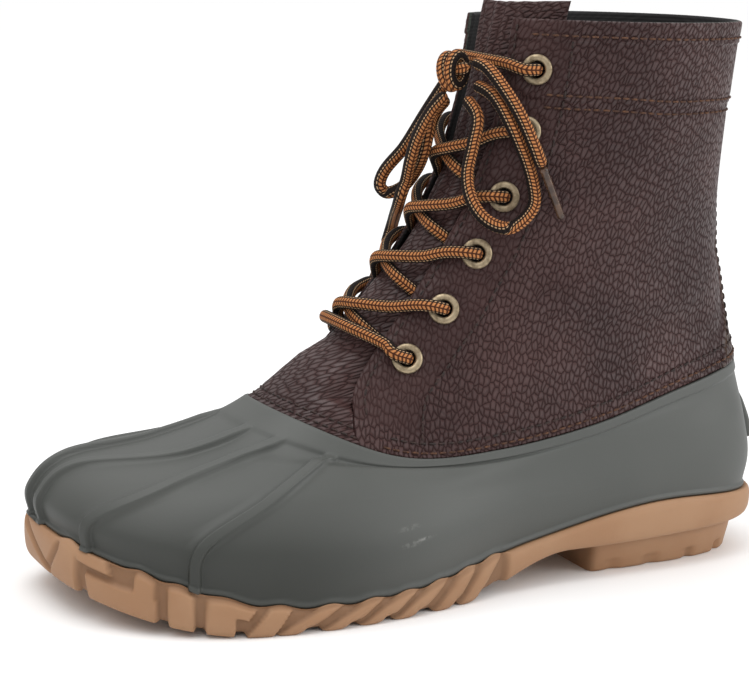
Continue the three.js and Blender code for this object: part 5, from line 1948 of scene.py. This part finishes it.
@dataclass
class Lacing:
    """Twelve brass eyelets and the lace that runs through them."""

    finishes: Wardrobe
    radius: float = 5.25
    bore: float = 2.75
    barrel: float = 3.05
    rise: float = 1.35
    columns: int = 44
    crossings: tuple[float, float] = (2.3, -1.2)
    low_bar: float = 1.4
    top_bar: float = 0.6
    reference: tuple[float, float, float] = (-0.25, 0.0, 1.0)

    def lift(self, level: float) -> float:
        """Height of the leather over the last at an eyelet."""
        return CUFF_RAISE if level > CUFF_LEVEL else 0.0

    def axes(self, index: int, side: int) -> tuple[Array, Array, Array, Array]:
        """Where an eyelet sits.

        Args:
            index: which eyelet.
            side: 1 outer, -1 inner.

        Returns:
            Its middle on the leather and its directions around, up and out.
        """
        level, angle = EYELETS[index][0], side * EYELETS[index][1]
        out = FORM.outward(angle, level)
        around = unit(FORM.around(angle, level))
        return FORM.skin(angle, level, self.lift(level)), around, np.cross(out, around), out

    def eyelet(self, index: int, side: int) -> None:
        """One eyelet: a rolled flange and a barrel, its closed profile turned about the axis.

        Args:
            index: which eyelet.
            side: 1 outer, -1 inner.
        """
        low = -LEATHER - 0.35
        roll = np.linspace(0, np.pi, 13)
        middle, half = (self.bore + self.radius) / 2, (self.radius - self.bore) / 2
        profile = [(self.barrel, low), (self.bore, low), (self.bore, -0.4), (self.bore, 0.35)]
        profile += [(middle - half * math.cos(a), 0.35 + (self.rise - 0.35) * math.sin(a) ** 0.75)
                    for a in roll[1:-1]]
        profile += [(self.radius, 0.3), (self.radius - 0.05, 0.02), (self.radius - 0.6, -0.15),
                    (self.barrel, -0.15)]
        profile = np.array(profile)
        centre, around, up, out = self.axes(index, side)
        turn = np.linspace(0, 2 * np.pi, self.columns, endpoint=False)[None, :, None]
        ring = (centre + profile[:, 0, None, None] * (np.cos(turn) * around + np.sin(turn) * up)
                + profile[:, 1, None, None] * out)
        ring = np.concatenate([ring, ring[:1]])
        index_grid = np.arange((len(ring) - 1) * self.columns).reshape(-1, self.columns)
        index_grid = np.concatenate([index_grid, index_grid[:1]])
        recess = np.repeat(np.where(profile[:, 0] <= self.bore + 0.05, 0.8, 0.0), self.columns)
        surface = Surface(ring[:-1].reshape(-1, 3), quads_of(index_grid, True).reshape(-1, 4)[:, ::-1],
                          masks={"recess": recess})
        side_name = "lateral" if side > 0 else "medial"
        piece_of(f"eyelet_{side_name}_{index + 1}_brass", surface, [self.finishes.brass],
                 [f"eyelet_{side_name}_{index + 1}"])

    def threaded(self, index: int, side: int) -> tuple[list[Array], list[float]]:
        """Lace from inside the boot up through an eyelet and over its rim.

        Args:
            index: its eyelet.
            side: 1 outer, -1 inner.

        Returns:
            Points from the inside outwards and how much the section is squeezed at each.
        """
        level, angle = EYELETS[index]
        centre, _, _, out = self.axes(index, side)
        lift = self.lift(level)
        rim = FORM.skin(side * (angle - 4.6), level - 0.015, lift + self.rise + 1.95)
        return [centre - 3.6 * out, centre - 1.2 * out, centre + 1.0 * out + 0.25 * unit(rim - centre),
                rim], [0.9, 0.9, 0.95, 0.9]

    def strand(self, index: int, side: int, crossing: float) -> Surface:
        """One strand: through its own eyelet, across the tongue and under the other quarter.

        Args:
            index: its eyelet.
            side: 1 outer, -1 inner.
            crossing: height over the last where it crosses the other strand.

        Returns:
            The tube.
        """
        own, other = EYELETS[index], EYELETS[index - 1]
        lift = self.lift(own[0])
        edge = float(FORM.quarter_edge(own[0]))
        start, squeeze = self.threaded(index, side)
        rest = ((side * (edge + 4.5), 0.1, lift + 2.75, 0.88), (side * (edge - 4), 0.24, lift + 1.4, 0.9),
                (side * 9, 0.4, crossing + 0.1, 0.9), (-side * 2, 0.52, crossing, 0.88),
                (-side * (edge - 14), 0.66, -1.3, 0.85), (-side * (edge - 5), 0.77, -2.6, 0.6),
                (-side * (edge + 3), 0.87, -3.25, 0.4))
        level = [own[0] + (other[0] - own[0]) * share for _, share, _, _ in rest]
        points = [FORM.skin(a, l, h) for (a, _, h, _), l in zip(rest, level)]
        centre, _, _, out = self.axes(index - 1, -side)
        points = np.array([*start, *points, centre - 3.3 * out])
        squeeze = [*squeeze, *(row[3] for row in rest), 0.5]
        path = line_of(points, 0.5)
        chord = run_of(points)
        flat = np.interp(np.linspace(0, 1, len(path)), chord / chord[-1], squeeze)
        return tube_of(path, LACE / 2, self.reference, 20, flat)

    def bar(self, index: int, middle: float) -> Surface:
        """Straight bar between the two eyelets of a pair.

        Args:
            index: which pair.
            middle: height over the last in the middle.

        Returns:
            The tube.
        """
        level = EYELETS[index][0]
        lift, edge = self.lift(level), float(FORM.quarter_edge(level))
        halves, squeezes = [], []
        for side in (1, -1):
            start, squeeze = self.threaded(index, side)
            rest = ((side * (edge + 3.5), 0.03, lift + 2.7), (side * edge / 2, 0.06, middle + 0.3))
            halves.append([*start, *(FORM.skin(a, level + rise, height) for a, rise, height in rest)])
            squeezes.append([*squeeze, 0.88, 0.9])
        top = FORM.skin(0.0, level + 0.07, middle)
        path = line_of([*halves[0], top, *halves[1][::-1]], 0.5)
        squeeze = [*squeezes[0], 0.9, *squeezes[1][::-1]]
        flat = np.interp(np.linspace(0, 1, len(path)), np.linspace(0, 1, len(squeeze)), squeeze)
        return tube_of(path, LACE / 2, self.reference, 20, flat)

    def build(self) -> None:
        """Eyelets, crossings and the two straight bars."""
        for index in range(len(EYELETS)):
            for side in (1, -1):
                self.eyelet(index, side)
        for index in range(1, len(EYELETS) - 1):
            strands = joined([self.strand(index, side, crossing)
                              for side, crossing in zip((1, -1), self.crossings)])
            piece_of(f"lace_cross_{index + 1}_braid", strands, [self.finishes.braid],
                     [f"lace_cross_{index + 1}"])
        bars = {"low": self.bar(0, self.low_bar), "top": self.bar(len(EYELETS) - 1, self.top_bar)}
        for name, tube in bars.items():
            piece_of(f"lace_bar_{name}_braid", tube, [self.finishes.braid], [f"lace_bar_{name}"])


def main() -> None:
    """Build the boot piece by piece."""
    logging.basicConfig(level=logging.INFO, format="%(message)s")
    studio = Studio()
    studio.camera()
    finishes = Wardrobe()
    Bow(finishes).build()
    Lacing(finishes).build()
    Shell(finishes).build()
    Outsole(finishes).build()
    Insole(finishes).build()
    stitching = Stitching()
    Upper(finishes, stitching).build()
    Tongue(finishes, stitching).build()
    studio.build()


if __name__ == "__main__":
    main()
